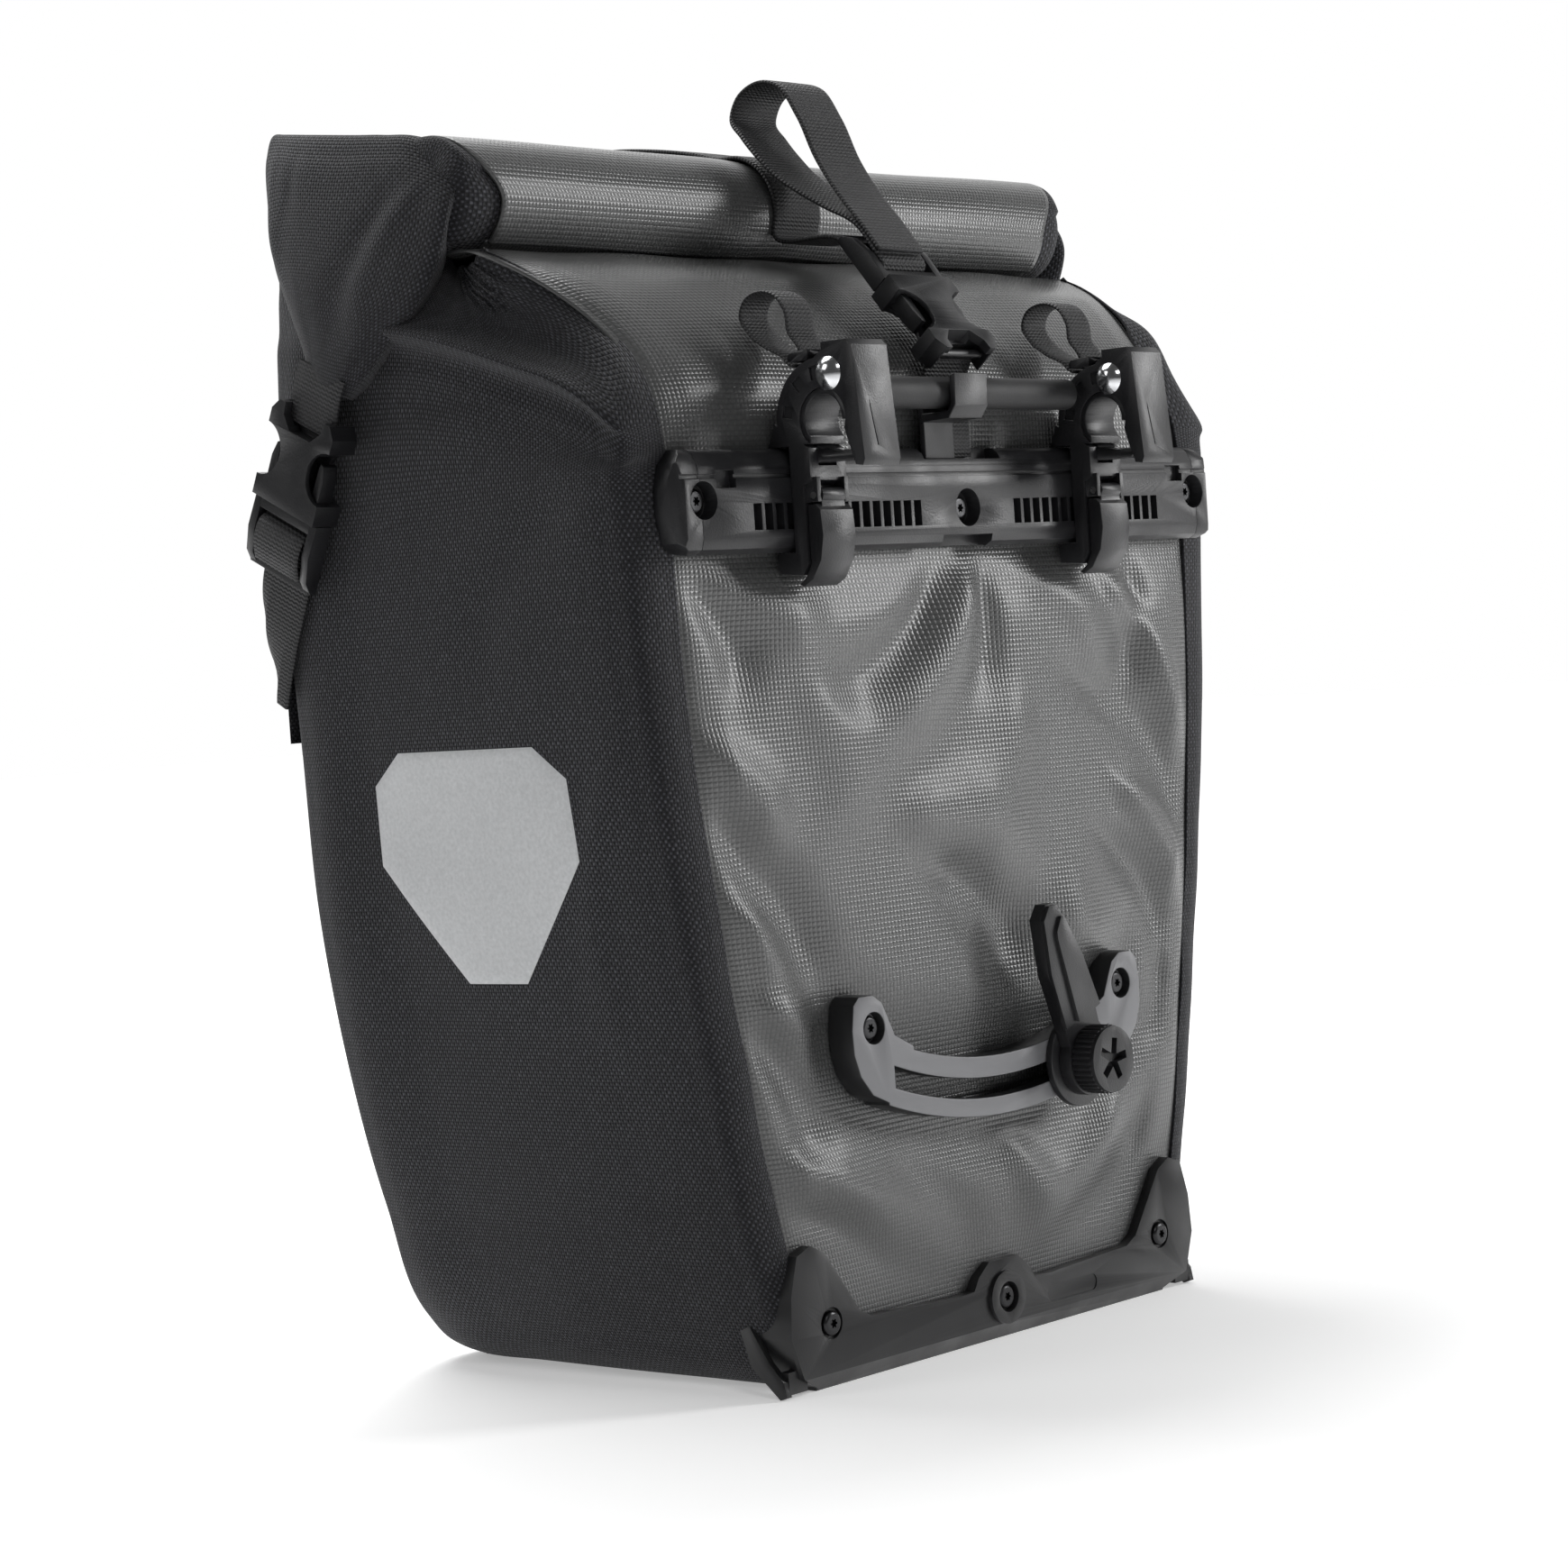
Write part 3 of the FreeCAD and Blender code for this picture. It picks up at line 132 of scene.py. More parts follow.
def woven(tree, pitch_u, pitch_v):
    """Plain-weave height from UVs in millimetres: signed floats and their absolute height."""
    uv = tree.nodes.new("ShaderNodeUVMap")
    split = tree.nodes.new("ShaderNodeSeparateXYZ")
    tree.links.new(uv.outputs["UV"], split.inputs[0])
    u, v = split.outputs[0], split.outputs[1]
    su = calc(tree, "SINE", calc(tree, "MULTIPLY", u, math.pi / pitch_u))
    sv = calc(tree, "SINE", calc(tree, "MULTIPLY", v, math.pi / pitch_v))
    signed = calc(tree, "MULTIPLY", su, sv)
    return signed, calc(tree, "POWER", calc(tree, "ABSOLUTE", signed), 0.7)


COATED_PITCH = 1.75           # mm from thread to thread of the coated fabric
WEAVE_PITCH = (1.0, 1.3)       # the same in the black fabric, across and along
RIB_PITCH = 1.45               # mm from rib to rib of the webbing


def coated_fabric():
    mat, tree, bsdf = new_material("coated_fabric", 0.4)
    signed, pip = woven(tree, COATED_PITCH, COATED_PITCH)
    patch = noise(tree, 9.0, 3.0)
    tone = calc(tree, "ADD", calc(tree, "MULTIPLY", pip, 0.35), calc(tree, "MULTIPLY", patch, 0.5))
    tone = calc(tree, "ADD", tone, calc(tree, "MULTIPLY", signed, 0.12), clamp=True)
    color = ramp(tree, tone, [(0.0, (0.045, 0.046, 0.046)), (0.55, (0.082, 0.083, 0.083)),
                              (1.0, (0.112, 0.113, 0.112))])
    tree.links.new(color, bsdf.inputs["Base Color"])
    rough = ramp(tree, calc(tree, "ADD", calc(tree, "MULTIPLY", pip, -0.25), patch, clamp=True),
                 [(0.0, 0.22), (1.0, 0.38)])
    tree.links.new(rough, bsdf.inputs["Roughness"])
    bsdf.inputs["Specular IOR Level"].default_value = 0.55
    bsdf.inputs["Coat Weight"].default_value = 0.18
    bsdf.inputs["Coat Roughness"].default_value = 0.22
    bump(tree, bsdf, calc(tree, "ADD", pip, calc(tree, "MULTIPLY", noise(tree, 900.0), 0.15)), 0.5, 0.00034)
    return mat


def black_weave():
    mat, tree, bsdf = new_material("black_weave", 0.72)
    signed, pip = woven(tree, *WEAVE_PITCH)
    grain = noise(tree, 700.0, 1.0)
    patch = noise(tree, 7.0, 3.0)
    thread = calc(tree, "ADD", calc(tree, "MULTIPLY", signed, 0.38), calc(tree, "MULTIPLY", grain, 0.55))
    thread = calc(tree, "ADD", thread, calc(tree, "MULTIPLY", patch, 0.22), clamp=True)
    color = ramp(tree, thread, [(0.15, (0.0045, 0.0045, 0.0060)), (0.5, (0.011, 0.011, 0.0145)),
                                (0.85, (0.085, 0.087, 0.100))])
    tree.links.new(color, bsdf.inputs["Base Color"])
    bsdf.inputs["Specular IOR Level"].default_value = 0.28
    bsdf.inputs["Sheen Weight"].default_value = 0.12
    bsdf.inputs["Sheen Roughness"].default_value = 0.5
    bump(tree, bsdf, calc(tree, "ADD", pip, calc(tree, "MULTIPLY", grain, 0.5)), 0.75, 0.00045)
    return mat


def ribbed_webbing():
    mat, tree, bsdf = new_material("ribbed_webbing", 0.6)
    uv = tree.nodes.new("ShaderNodeUVMap")
    split = tree.nodes.new("ShaderNodeSeparateXYZ")
    tree.links.new(uv.outputs["UV"], split.inputs[0])
    along = split.outputs[1]
    wobble = calc(tree, "MULTIPLY", calc(tree, "SINE", calc(tree, "MULTIPLY", split.outputs[0], 2.9)), 0.18)
    phase = calc(tree, "MULTIPLY", calc(tree, "ADD", along, wobble), 2 * math.pi / RIB_PITCH)
    rib = calc(tree, "MULTIPLY", calc(tree, "ADD", calc(tree, "SINE", phase), 1.0), 0.5)
    fine = calc(tree, "ABSOLUTE", calc(tree, "SINE", calc(tree, "MULTIPLY", split.outputs[0],
                                                          math.pi / 0.8)))
    height = calc(tree, "ADD", rib, calc(tree, "MULTIPLY", fine, 0.3))
    fuzz = calc(tree, "MULTIPLY", noise(tree, 400.0), 0.3)
    tone = calc(tree, "ADD", calc(tree, "MULTIPLY", height, 0.55), fuzz, clamp=True)
    color = ramp(tree, tone, [(0.1, (0.005, 0.005, 0.0055)), (0.9, (0.040, 0.040, 0.042))])
    tree.links.new(color, bsdf.inputs["Base Color"])
    bsdf.inputs["Specular IOR Level"].default_value = 0.4
    bump(tree, bsdf, height, 0.7, 0.0004)
    return mat


def plastic(name, low, high, rough, grain_scale, grain, soft=0.12):
    mat, tree, bsdf = new_material(name, rough)
    patch = noise(tree, 35.0, 4.0)
    tree.links.new(ramp(tree, patch, [(0.3, low), (0.75, high)]), bsdf.inputs["Base Color"])
    scuff = ramp(tree, noise(tree, 60.0, 6.0), [(0.3, rough - soft), (0.8, rough + soft)])
    tree.links.new(scuff, bsdf.inputs["Roughness"])
    bump(tree, bsdf, noise(tree, grain_scale, 2.0), grain, 0.00025)
    return mat


def rail_painted_sheen():
    """Black plastic rail: the face turned to the rack is painted light grey, a painted reflection of its
    satin sheen; the flanks are black.
    """
    mat, tree, bsdf = new_material("rail_painted_sheen", 0.45)
    geometry = tree.nodes.new("ShaderNodeNewGeometry")
    split = tree.nodes.new("ShaderNodeSeparateXYZ")
    tree.links.new(geometry.outputs["True Normal"], split.inputs[0])
    sheen_side_mask = calc(tree, "MULTIPLY", split.outputs[1], -1.0)
    spots = calc(tree, "MULTIPLY", noise(tree, 40.0, 4.0), 0.12)
    # painted reflection: faces turned to the rack (-y) get a light grey base colour, all other faces stay
    # black
    color = ramp(tree, calc(tree, "ADD", sheen_side_mask, spots),
                 [(0.70, (0.012, 0.012, 0.013)), (0.92, (0.185, 0.186, 0.195))])
    tree.links.new(color, bsdf.inputs["Base Color"])
    bump(tree, bsdf, noise(tree, 2200.0), 0.12, 0.0002)
    return mat


def reflective_film():
    mat, tree, bsdf = new_material("reflective_film", 0.5)
    fleck = noise(tree, 800.0, 3.0)
    broad = noise(tree, 18.0, 3.0)
    tone = calc(tree, "ADD", calc(tree, "MULTIPLY", fleck, 0.6), calc(tree, "MULTIPLY", broad, 0.4))
    color = ramp(tree, tone, [(0.3, (0.44, 0.45, 0.46)), (0.7, (0.60, 0.61, 0.62))])
    tree.links.new(color, bsdf.inputs["Base Color"])
    bump(tree, bsdf, fleck, 0.25, 0.0002)
    return mat


def metal(name, color, rough):
    mat, tree, bsdf = new_material(name, rough, 1.0, color)
    tree.links.new(ramp(tree, noise(tree, 150.0, 5.0), [(0.3, rough * 0.7), (0.8, rough * 1.5)]),
                   bsdf.inputs["Roughness"])
    return mat


MATS = {
    "grey_fabric": coated_fabric(),
    "black_fabric": black_weave(),
    "webbing": ribbed_webbing(),
    "black_plastic": plastic("grained_plastic", (0.008, 0.008, 0.009), (0.015, 0.015, 0.017), 0.43,
                             1500.0, 0.30),
    "satin_plastic": plastic("satin_plastic", (0.009, 0.009, 0.010), (0.014, 0.014, 0.015), 0.40,
                             2600.0, 0.14),
    # this rail's grey is a painted reflection on the face turned to the rack
    "grey_plastic": rail_painted_sheen(),
    "stiffener_plastic": plastic("sheet_plastic", (0.03, 0.03, 0.03), (0.04, 0.04, 0.04), 0.5, 900.0, 0.1),
    "reflector": reflective_film(),
    "rubber": plastic("soft_rubber", (0.011, 0.011, 0.012), (0.018, 0.018, 0.019), 0.62, 1900.0, 0.35, 0.06),
    "zinc": metal("bright_zinc", (0.82, 0.83, 0.85), 0.16),
    "black_steel": metal("black_oxide_steel", (0.05, 0.05, 0.052), 0.34),
    "steel": metal("plain_steel", (0.5, 0.5, 0.5), 0.3),
}

# ------------------------------------------------------------------ mesh helpers


def slopes(t, values):
    step = np.diff(t)[(...,) + (None,) * (values.ndim - 1)]
    secant = np.diff(values, axis=0) / step
    out = np.empty_like(values)
    out[0], out[-1] = secant[0], secant[-1]
    out[1:-1] = (secant[:-1] * step[1:] + secant[1:] * step[:-1]) / (step[1:] + step[:-1])
    return out


def spline(t, values, at):
    """Cubic through the values at t, read at the new places."""
    t = np.asarray(t, float)
    values = np.asarray(values, float)
    at = np.clip(np.asarray(at, float), t[0], t[-1])
    tangent = slopes(t, values)
    i = np.clip(np.searchsorted(t, at, side="right") - 1, 0, len(t) - 2)
    h = t[i + 1] - t[i]
    s = (at - t[i]) / h
    shape = (slice(None),) + (None,) * (values.ndim - 1)
    s, h = s[shape], h[shape]
    return ((2 * s**3 - 3 * s**2 + 1) * values[i] + (s**3 - 2 * s**2 + s) * h * tangent[i]
            + (3 * s**2 - 2 * s**3) * values[i + 1] + (s**3 - s**2) * h * tangent[i + 1])


def lengths(points):
    """Running length along a line of points."""
    gaps = np.linalg.norm(np.diff(points, axis=0), axis=1)
    return np.concatenate([[0.0], np.cumsum(gaps)])


def surface(net, rows, columns):
    """Fine grid through a net of control points [row][column]."""
    net = np.asarray(net, float)
    tr = np.mean([lengths(net[:, c]) for c in range(net.shape[1])], axis=0)
    tc = np.mean([lengths(net[r]) for r in range(net.shape[0])], axis=0)
    grid = spline(tr, net, np.linspace(0, tr[-1], rows))
    grid = np.swapaxes(grid, 0, 1)
    return np.swapaxes(spline(tc, grid, np.linspace(0, tc[-1], columns)), 0, 1)


def link(name, mesh, slot):
    piece = bpy.data.objects.new(name, mesh)
    bpy.context.scene.collection.objects.link(piece)
    mesh.materials.append(MATS[slot])
    return piece


def grid_piece(name, grid, slot, thickness=0.0, flip=False, closed=False):
    """One object from a grid of points in mm, with UVs in mm along the surface."""
    rows, columns = grid.shape[:2]
    u = np.mean([lengths(grid[r]) for r in range(0, rows, max(rows // 8, 1))], axis=0)
    v = np.mean([lengths(grid[:, c]) for c in range(0, columns, max(columns // 8, 1))], axis=0)
    girth = u[-1] + (np.linalg.norm(grid[0, -1] - grid[0, 0]) if closed else 0.0)
    faces, uvs = [], []
    for r in range(rows - 1):
        for c in range(columns if closed else columns - 1):
            d = (c + 1) % columns
            ud = u[d] if d > c else girth
            quad = [r * columns + c, r * columns + d, (r + 1) * columns + d, (r + 1) * columns + c]
            corner = [(u[c], v[r]), (ud, v[r]), (ud, v[r + 1]), (u[c], v[r + 1])]
            if flip:
                quad, corner = quad[::-1], corner[::-1]
            faces.append(quad)
            uvs.extend(corner)
    mesh = bpy.data.meshes.new(name)
    mesh.from_pydata((grid.reshape(-1, 3) * MM).tolist(), [], faces)
    layer = mesh.uv_layers.new(name="UVMap")
    layer.data.foreach_set("uv", np.array(uvs, np.float32).ravel())
    mesh.polygons.foreach_set("use_smooth", [True] * len(faces))
    piece = link(name, mesh, slot)
    if thickness:
        solid = piece.modifiers.new("cloth_thickness", "SOLIDIFY")
        solid.thickness = thickness * MM
        solid.offset = -1.0
    return piece


def tag_of(side):
    """Name of a side: the left one is at negative x."""
    return "left" if side < 0 else "right"


def finish_piece(piece, body, *stands_for):
    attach(piece, body)
    if stands_for:
        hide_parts(*stands_for)
    return piece


def ripple(a, b, seed, scale):
    """Soft uneven height of two coordinates in mm, mostly within -1 to 1."""
    rng = np.random.default_rng(seed)
    total = np.zeros(np.broadcast(a, b).shape)
    for _ in range(7):
        angle, size, phase = rng.uniform(0, math.pi), rng.uniform(0.7, 1.6), rng.uniform(0, 6.28)
        wave = (a * math.cos(angle) + b * math.sin(angle)) / (scale * size)
        total += np.sin(wave * 2 * math.pi + phase)
    return total / 4.0


# ------------------------------------------------------------------ bag body
RACK_Y = -85.0
OUTER_Y = 86.0
ROLL_Y, ROLL_Z, ROLL_RY, ROLL_RZ = -2.0, 405.0, 21.0, 20.0
ROLL_HALF = 146.0

# profile of the rack panel (y, z) and half the width of its grey part there
RACK_LINE = np.array([(-74, 1.2, 92), (-81, 3.0, 94), (-84.2, 8, 96), (-85, 15, 98), (-85, 57.6, 110.5),
                      (-85, 110, 121), (-85, 145, 127.5), (-85, 190, 133.5), (-85, 235, 138.7),
                      (-85, 280, 140), (-85, 306, 140), (-83.5, 322, 140), (-79.5, 335, 140),
                      (-73, 347, 140.5),
                      (-62, 360, 144), (-50, 370.5, 149), (-36, 379.5, 154), (-22, 385.5, 156),
                      (-8, 387, 152), (6, 386, 148)], float)
# outer panel
OUTER_LINE = np.array([(74, 1.2, 94), (81, 3.0, 97), (85, 8, 99), (86, 20, 109), (86.5, 69, 127),
                       (87, 110, 136),
                       (87.5, 155, 145), (87.5, 203, 147), (87, 285, 150), (86.5, 345, 149), (86, 404, 146),
                       (84.5, 423, 145), (80.5, 431, 145), (72, 434.5, 146), (56, 434, 147),
                       (38, 431.5, 147),
                       (24, 429, 147), (10, 425.5, 147), (0, 420, 147)], float)
# creases of the rack panel: x0, z0, x1, z1, half width, height (a valley is negative)
CREASES = np.array([
    (11, 277, -41, 221, 10, 3.2),
    (19, 277, 79, 245, 9, 2.4),
    (-10, 269, -66, 234, 9, -2.6),
    (13, 269, 9, 231, 8, -2.2),
    (-138, 273, -111, 237, 9, -2.6),
    (-125, 273, -78, 253, 10, 2.2),
    (-139, 218, -103, 186, 11, 2.6),
    (-139, 197, -90, 136, 11, -3.2),
    (-131, 167, -91, 118, 9, 2.4),
    (104, 273, 91, 226, 10, -2.6),
    (87, 267, 130, 197, 9, 3.2),
    (69, 228, 131, 177, 12, -3),
    (87, 190, 122, 150, 9, 2.8),
    (77, 171, 109, 131, 9, -2.6),
    (-20, 169, 22, 134, 14, -4),
    (-37, 190, 20, 166, 16, 2),
    (85, 120, 50, 153, 10, 2.2),
    (108, 124, 94, 96, 9, -2.2),
    (-122, 122, -90, 82, 10, -3),
    (-113, 130, -75, 98, 9, 2.2),
    (-109, 76, -61, 47, 10, 2.4),
    (-102, 59, -62, 38, 7, -2.4),
    (-50, 70, -14, 33, 12, -1.8),
    (75, 78, 23, 43, 11, 2.6),
    (91, 69, 48, 29, 9, -2.6),
    (10, 70, 27, 29, 10, 1.8),
    (-80, 235, -61, 191, 16, 1.4),
    (31, 223, 2, 187, 16, 1.4),
], float)

# the same for the outer panel, and for the side fabric in (y, z)
OUTER_FOLDS = np.array([(-110, 395, -30, 250, 13, -2.0), (115, 390, 40, 270, 13, -2.0),
                        (-120, 200, -60, 90, 14, 1.6), (118, 180, 70, 60, 12, -1.6),
                        (-90, 330, 60, 345, 16, 1.4), (-60, 60, 70, 50, 16, 1.5)])
SIDE_FOLDS = np.array([(-60, 300, -10, 250, 11, -1.4), (-30, 330, 30, 300, 14, 1.3),
                       (-55, 60, 10, 20, 12, 1.2),
                       (50, 230, 20, 120, 16, -1.0), (-62, 210, -50, 120, 7, 0.9),
                       (-20, 338, 60, 318, 9, -1.8)])


def crease_height(x, z, creases):
    total = np.zeros_like(x)
    for x0, z0, x1, z1, width, height in creases:
        dx, dz = x1 - x0, z1 - z0
        size = math.hypot(dx, dz)
        along = ((x - x0) * dx + (z - z0) * dz) / size
        across = ((x - x0) * dz - (z - z0) * dx) / size
        across = across + 0.10 * size * np.sin(along / size * 3.0)
        over = np.maximum(np.abs(along - size / 2) - size / 2 * 0.55, 0.0) / (size * 0.30)
        taper = np.clip(along / size, 0.0, 1.0)
        spread = width * (0.65 + 0.7 * taper)
        total += height * np.exp(-(across / spread) ** 2 - over**2)
    return total


def free_of_hardware(x, z):
    """0 where a rail or guard is screwed down, 1 well away from them."""
    rail = np.hypot(np.maximum(np.abs(x) - 146, 0), np.maximum(np.abs(z - 296.5) - 16, 0))
    radius = np.hypot(x, z - 270.5)
    arc = np.hypot(np.maximum(np.abs(radius - 181) - 12, 0), np.maximum(np.abs(x) - 84, 0))
    guard = np.maximum(z - (14 + 0.30 * np.abs(x)), 0)
    near = np.minimum(np.minimum(rail, arc), guard)
    return 1.0 - np.exp(-(near / 15.0) ** 2)


PANEL_ROWS = 200
SEAM_OVERLAP = 4.0             # how far a grey panel reaches under its seam


def panel_sheet(line, columns):
    """Smooth sheet along a profile: half width, share of it, x, y, z and the profile's slopes."""
    t = lengths(line[:, :2])
    fine = spline(t, line, np.linspace(0, t[-1], PANEL_ROWS))
    share = np.linspace(-1, 1, columns)
    half = fine[:, 2:3] + SEAM_OVERLAP
    x = share[None, :] * half
    y = np.repeat(fine[:, 0:1], columns, axis=1)
    z = np.repeat(fine[:, 1:2], columns, axis=1)
    slope_y = np.gradient(fine[:, 0], t[-1] / (PANEL_ROWS - 1))[:, None]
    slope_z = np.gradient(fine[:, 1], t[-1] / (PANEL_ROWS - 1))[:, None]
    return half, share, x, y, z, slope_y, slope_z


def rack_panel():
    half, share, x, y, z, slope_y, slope_z = panel_sheet(RACK_LINE, 150)
    tuck = 0.6 + 0.5 * np.clip((np.abs(x) - half + 7.0) / 3.0, 0, 1)
    loose = free_of_hardware(x, z)
    pillow = np.cos(np.clip(share[None, :], -1, 1) * math.pi / 2) ** 0.6 * np.clip(z / 80, 0, 1)
    edge = np.clip((half - SEAM_OVERLAP - np.abs(x)) / 14.0, 0, 1) ** 0.8
    swell = 0.35 + 0.65 * np.clip(pillow, 0, 1)
    push = loose * (4.6 * swell * edge**0.5 + 0.45 * ripple(x, z, 4, 90.0) * edge)
    push = push + loose**0.6 * edge * 1.25 * crease_height(x, z, CREASES)
    push = np.where(push > -0.4, push, -0.4 + 0.15 * np.tanh((push + 0.4) / 0.15 * 0.3))
    upper = np.clip((z - 318) / 25, 0, 1)
    push = push * (1 - 0.75 * np.clip((z - 372) / 10, 0, 1)) + upper * 0.8 * ripple(x, z * 2, 9, 60.0) * edge
    y = y - push * slope_z + tuck
    z = z + push * slope_y
    piece = grid_piece("rack_panel_skin", np.dstack([x, y, z]), "grey_fabric", 1.0)
    return finish_piece(piece, "bag", "rack_panel")


def outer_panel():
    half, share, x, y, z, slope_y, slope_z = panel_sheet(OUTER_LINE, 130)
    pillow = np.cos(share[None, :] * math.pi / 2) ** 0.6 * np.clip(z / 80, 0, 1)
    edge = np.clip((half - np.abs(x)) / 22.0, 0, 1)
    folds = crease_height(x, z, OUTER_FOLDS)
    push = 3.0 * pillow + edge * (folds + 0.5 * ripple(x, z, 12, 100.0))
    push = push * np.where(z > 425, 0.4, 1.0)
    y = y + push * slope_z - 0.6
    z = z - push * slope_y
    z = z - 1.5 * np.exp(-((y - 35) / 25) ** 2) * (z > 424) * (1 - share[None, :] ** 2)
    piece = grid_piece("outer_panel_skin", np.dstack([x, y, z]), "grey_fabric", 1.0, flip=True)
    return finish_piece(piece, "bag", "outer_panel")


def half_rack(z):
    return np.interp(z, [0, 57, 119, 200, 306], [106, 125, 138, 153, 162.5])


def half_outer(z):
    return np.interp(z, [0, 6, 20, 69, 142, 203, 285, 404, 430], [108, 114, 124, 142, 159, 162, 165, 158,
                                                                  150])


def side_net():
    """Control net of one side fabric, for the left (negative x) side; rows go up."""
    rows = []
    rounded = [(0.6, 11.0, 12.0), (2.2, 5.0, 5.0), (7.0, 1.8, 1.6)]
    straight = [(z, 0, 0) for z in (18, 60, 110, 165, 225, 280, 306)]
    for z, narrow, pull in rounded + straight:
        hr = float(half_rack(z)) - narrow
        ho = float(half_outer(z)) - narrow
        seam = float(np.interp(z, RACK_LINE[:16, 1], RACK_LINE[:16, 2])) - narrow * 0.4
        oseam = float(np.interp(z, OUTER_LINE[:12, 1], OUTER_LINE[:12, 2])) - narrow * 0.4
        yr, yo = RACK_Y + pull, OUTER_Y - pull
        mid = (hr + ho) / 2 + 1.5
        rows.append([(-seam, yr, z), (-hr + 10, yr + 0.4, z), (-hr + 3.2, yr + 3.6, z), (-hr, yr + 12, z),
                     (-hr * 0.75 - ho * 0.25 - 0.8, -42, z), (-mid, 0, z),
                     (-hr * 0.25 - ho * 0.75 - 0.8, 40, z),
                     (-ho, yo - 13, z), (-ho + 4.2, yo - 3.8, z), (-oseam, yo, z)])
    rows.append([(-140.3, -84.6, 316), (-151, -85.2, 315), (-158.5, -83, 312), (-160.5, -73, 318),
                 (-162.5, -42, 331),
                 (-165.0, 0, 344), (-165, 38, 348), (-163, 72, 350), (-158, 82, 352), (-149, 86, 350)])
    below = rows[-1]
    ridge = [(-140.3, -83.6, 322), (-151.5, -84.8, 322), (-160.5, -83, 321.5), (-165.0, -70, 332.5),
             (-169.5, -42, 345.5), (-172.5, -2, 358.5), (-170.5, 36, 364), (-163, 69, 366), (-157, 81, 368),
             (-148.5, 86, 366)]
    rows.append([(a[0] * 0.9 + b[0] * 0.1, a[1] * 0.3 + b[1] * 0.7, a[2] * 0.3 + b[2] * 0.7)
                 for a, b in zip(below, ridge)])
    rows.append(ridge)
    rows.append([(-139.9, -80.8, 331), (-150, -81.5, 332), (-157.5, -79, 331.5), (-160.5, -67.5, 338.5),
                 (-164.5, -40, 349.5), (-167.5, -2, 363.5), (-167, 36, 370), (-162, 68, 376),
                 (-156, 81, 380),
                 (-148, 86, 378)])
    rows.append([(-140, -73.0, 346), (-148, -73, 345.5), (-154, -69, 344), (-156, -58, 347),
                 (-160.5, -37, 354),
                 (-163.3, -3, 367), (-164, 34, 376), (-159, 66, 390), (-154, 80, 396), (-147, 86, 396)])
    rows.append([(-146, -57, 363), (-150.5, -56, 361), (-153.5, -52, 359.5), (-155.5, -43, 361),
                 (-158, -29, 363.5),
                 (-160, -6, 372), (-158, 30, 388), (-154, 64, 408), (-150, 79, 411), (-146, 85, 412)])
    rows.append([(-154, -38.5, 377.8), (-156.5, -36, 375), (-158, -32, 373), (-158.5, -26, 372.5),
                 (-157, -17, 373),
                 (-155, -4, 378), (-150, 28, 400), (-149, 60, 422), (-147, 76, 424), (-145, 82, 425)])
    rows.append([(-157, -23, 385.5), (-157, -20, 382), (-156, -17, 381), (-154, -12, 381), (-150, -6, 382),
                 (-148, 0, 384), (-146, 26, 408), (-145, 56, 428), (-144, 70, 430), (-143, 74, 431)])
    return rows


def gusset():
    left = surface(side_net(), 270, 200)
    y, z = left[..., 1], left[..., 2]
    on_side = np.clip((np.abs(left[..., 0]) - half_rack(z) + 8) / 8, 0, 1) * np.exp(-(y / 75.0) ** 6)
    push = 0.5 * ripple(y, z, 21, 95.0) + crease_height(y, z, SIDE_FOLDS)
    left[..., 0] -= on_side * push * np.clip(z / 40, 0, 1) * (z < 352)
    column = np.linspace(0, 1, left.shape[1])[None, :]
    gather = np.exp(-((z - 380) / 15.0) ** 2) * np.exp(-((y + 26) / 16.0) ** 2)
    left[..., 2] += gather * 1.5 * np.sin(column * 95.0)
    left[..., 1] -= gather * 0.9 * np.sin(column * 95.0 + 1.0)
    front = np.exp(-((y - RACK_Y) / 7.0) ** 2)
    left[..., 1] -= front * 0.35 * ripple(left[..., 0] * 2, z, 33, 42.0) * np.clip(z / 40, 0, 1)
    right = left * np.array([-1.0, 1.0, 1.0])
    lobe = np.exp(-((left[..., 2] - 356) / 16.0) ** 2) * np.exp(-((left[..., 1] + 62) / 22.0) ** 2)
    right += lobe[..., None] * np.array([5.5, -3.0, 7.0]) * np.clip((right[..., :1] - 141) / 12, 0, 1)
    base_x = np.linspace(-1, 1, 60)[None, :]
    base_y = np.linspace(-75, 75, 50)[:, None]
    wide = 95.5 + 2.5 * (base_y + 75) / 150
    sole = np.dstack([base_x * wide, np.repeat(base_y, 60, axis=1),
                      0.7 + 0.3 * np.cos(base_x * base_y / 30)])
    pieces = []
    for name, grid, flip in (("side_fabric_left", left, True), ("side_fabric_right", right, False),
                             ("base_fabric", sole, False)):
        pieces.append(grid_piece(name, grid, "black_fabric", 1.0, flip=flip))
    finish_piece(pieces[0], "bag", "gusset")
    for piece in pieces[1:]:
        finish_piece(piece, "bag")
    return pieces


# ------------------------------------------------------------------ roll and ears
def roll_ring(x, grow, start=-200.0, count=120):
    """One turn round the roll at x, 1.6 mm further out where it ends than where it starts."""
    a = np.radians(np.linspace(start, start + 360.0, count))
    wrap = grow + 1.6 * (a - a[0]) / (2 * math.pi)
    wave = 0.35 * np.sin(a * 2 + x / 37.0) + 0.25 * np.sin(x / 21.0 + a)
    press = 1.2 * np.exp(-(x / 16.0) ** 2)
    ry = ROLL_RY + wrap + wave - press
    rz = ROLL_RZ + wrap + wave - press
    return np.stack([np.full(count, x), ROLL_Y + ry * np.cos(a), ROLL_Z + rz * np.sin(a)], axis=1)


def roll_edge(ring):
    """How far out the grey reaches round the roll: further over the top than in front."""
    high = np.clip((ring[:, 2] - ROLL_Z + 4.0) / (ROLL_RZ + 4.0), 0, 1)
    return ROLL_HALF + 13.0 * high * high * (3 - 2 * high)


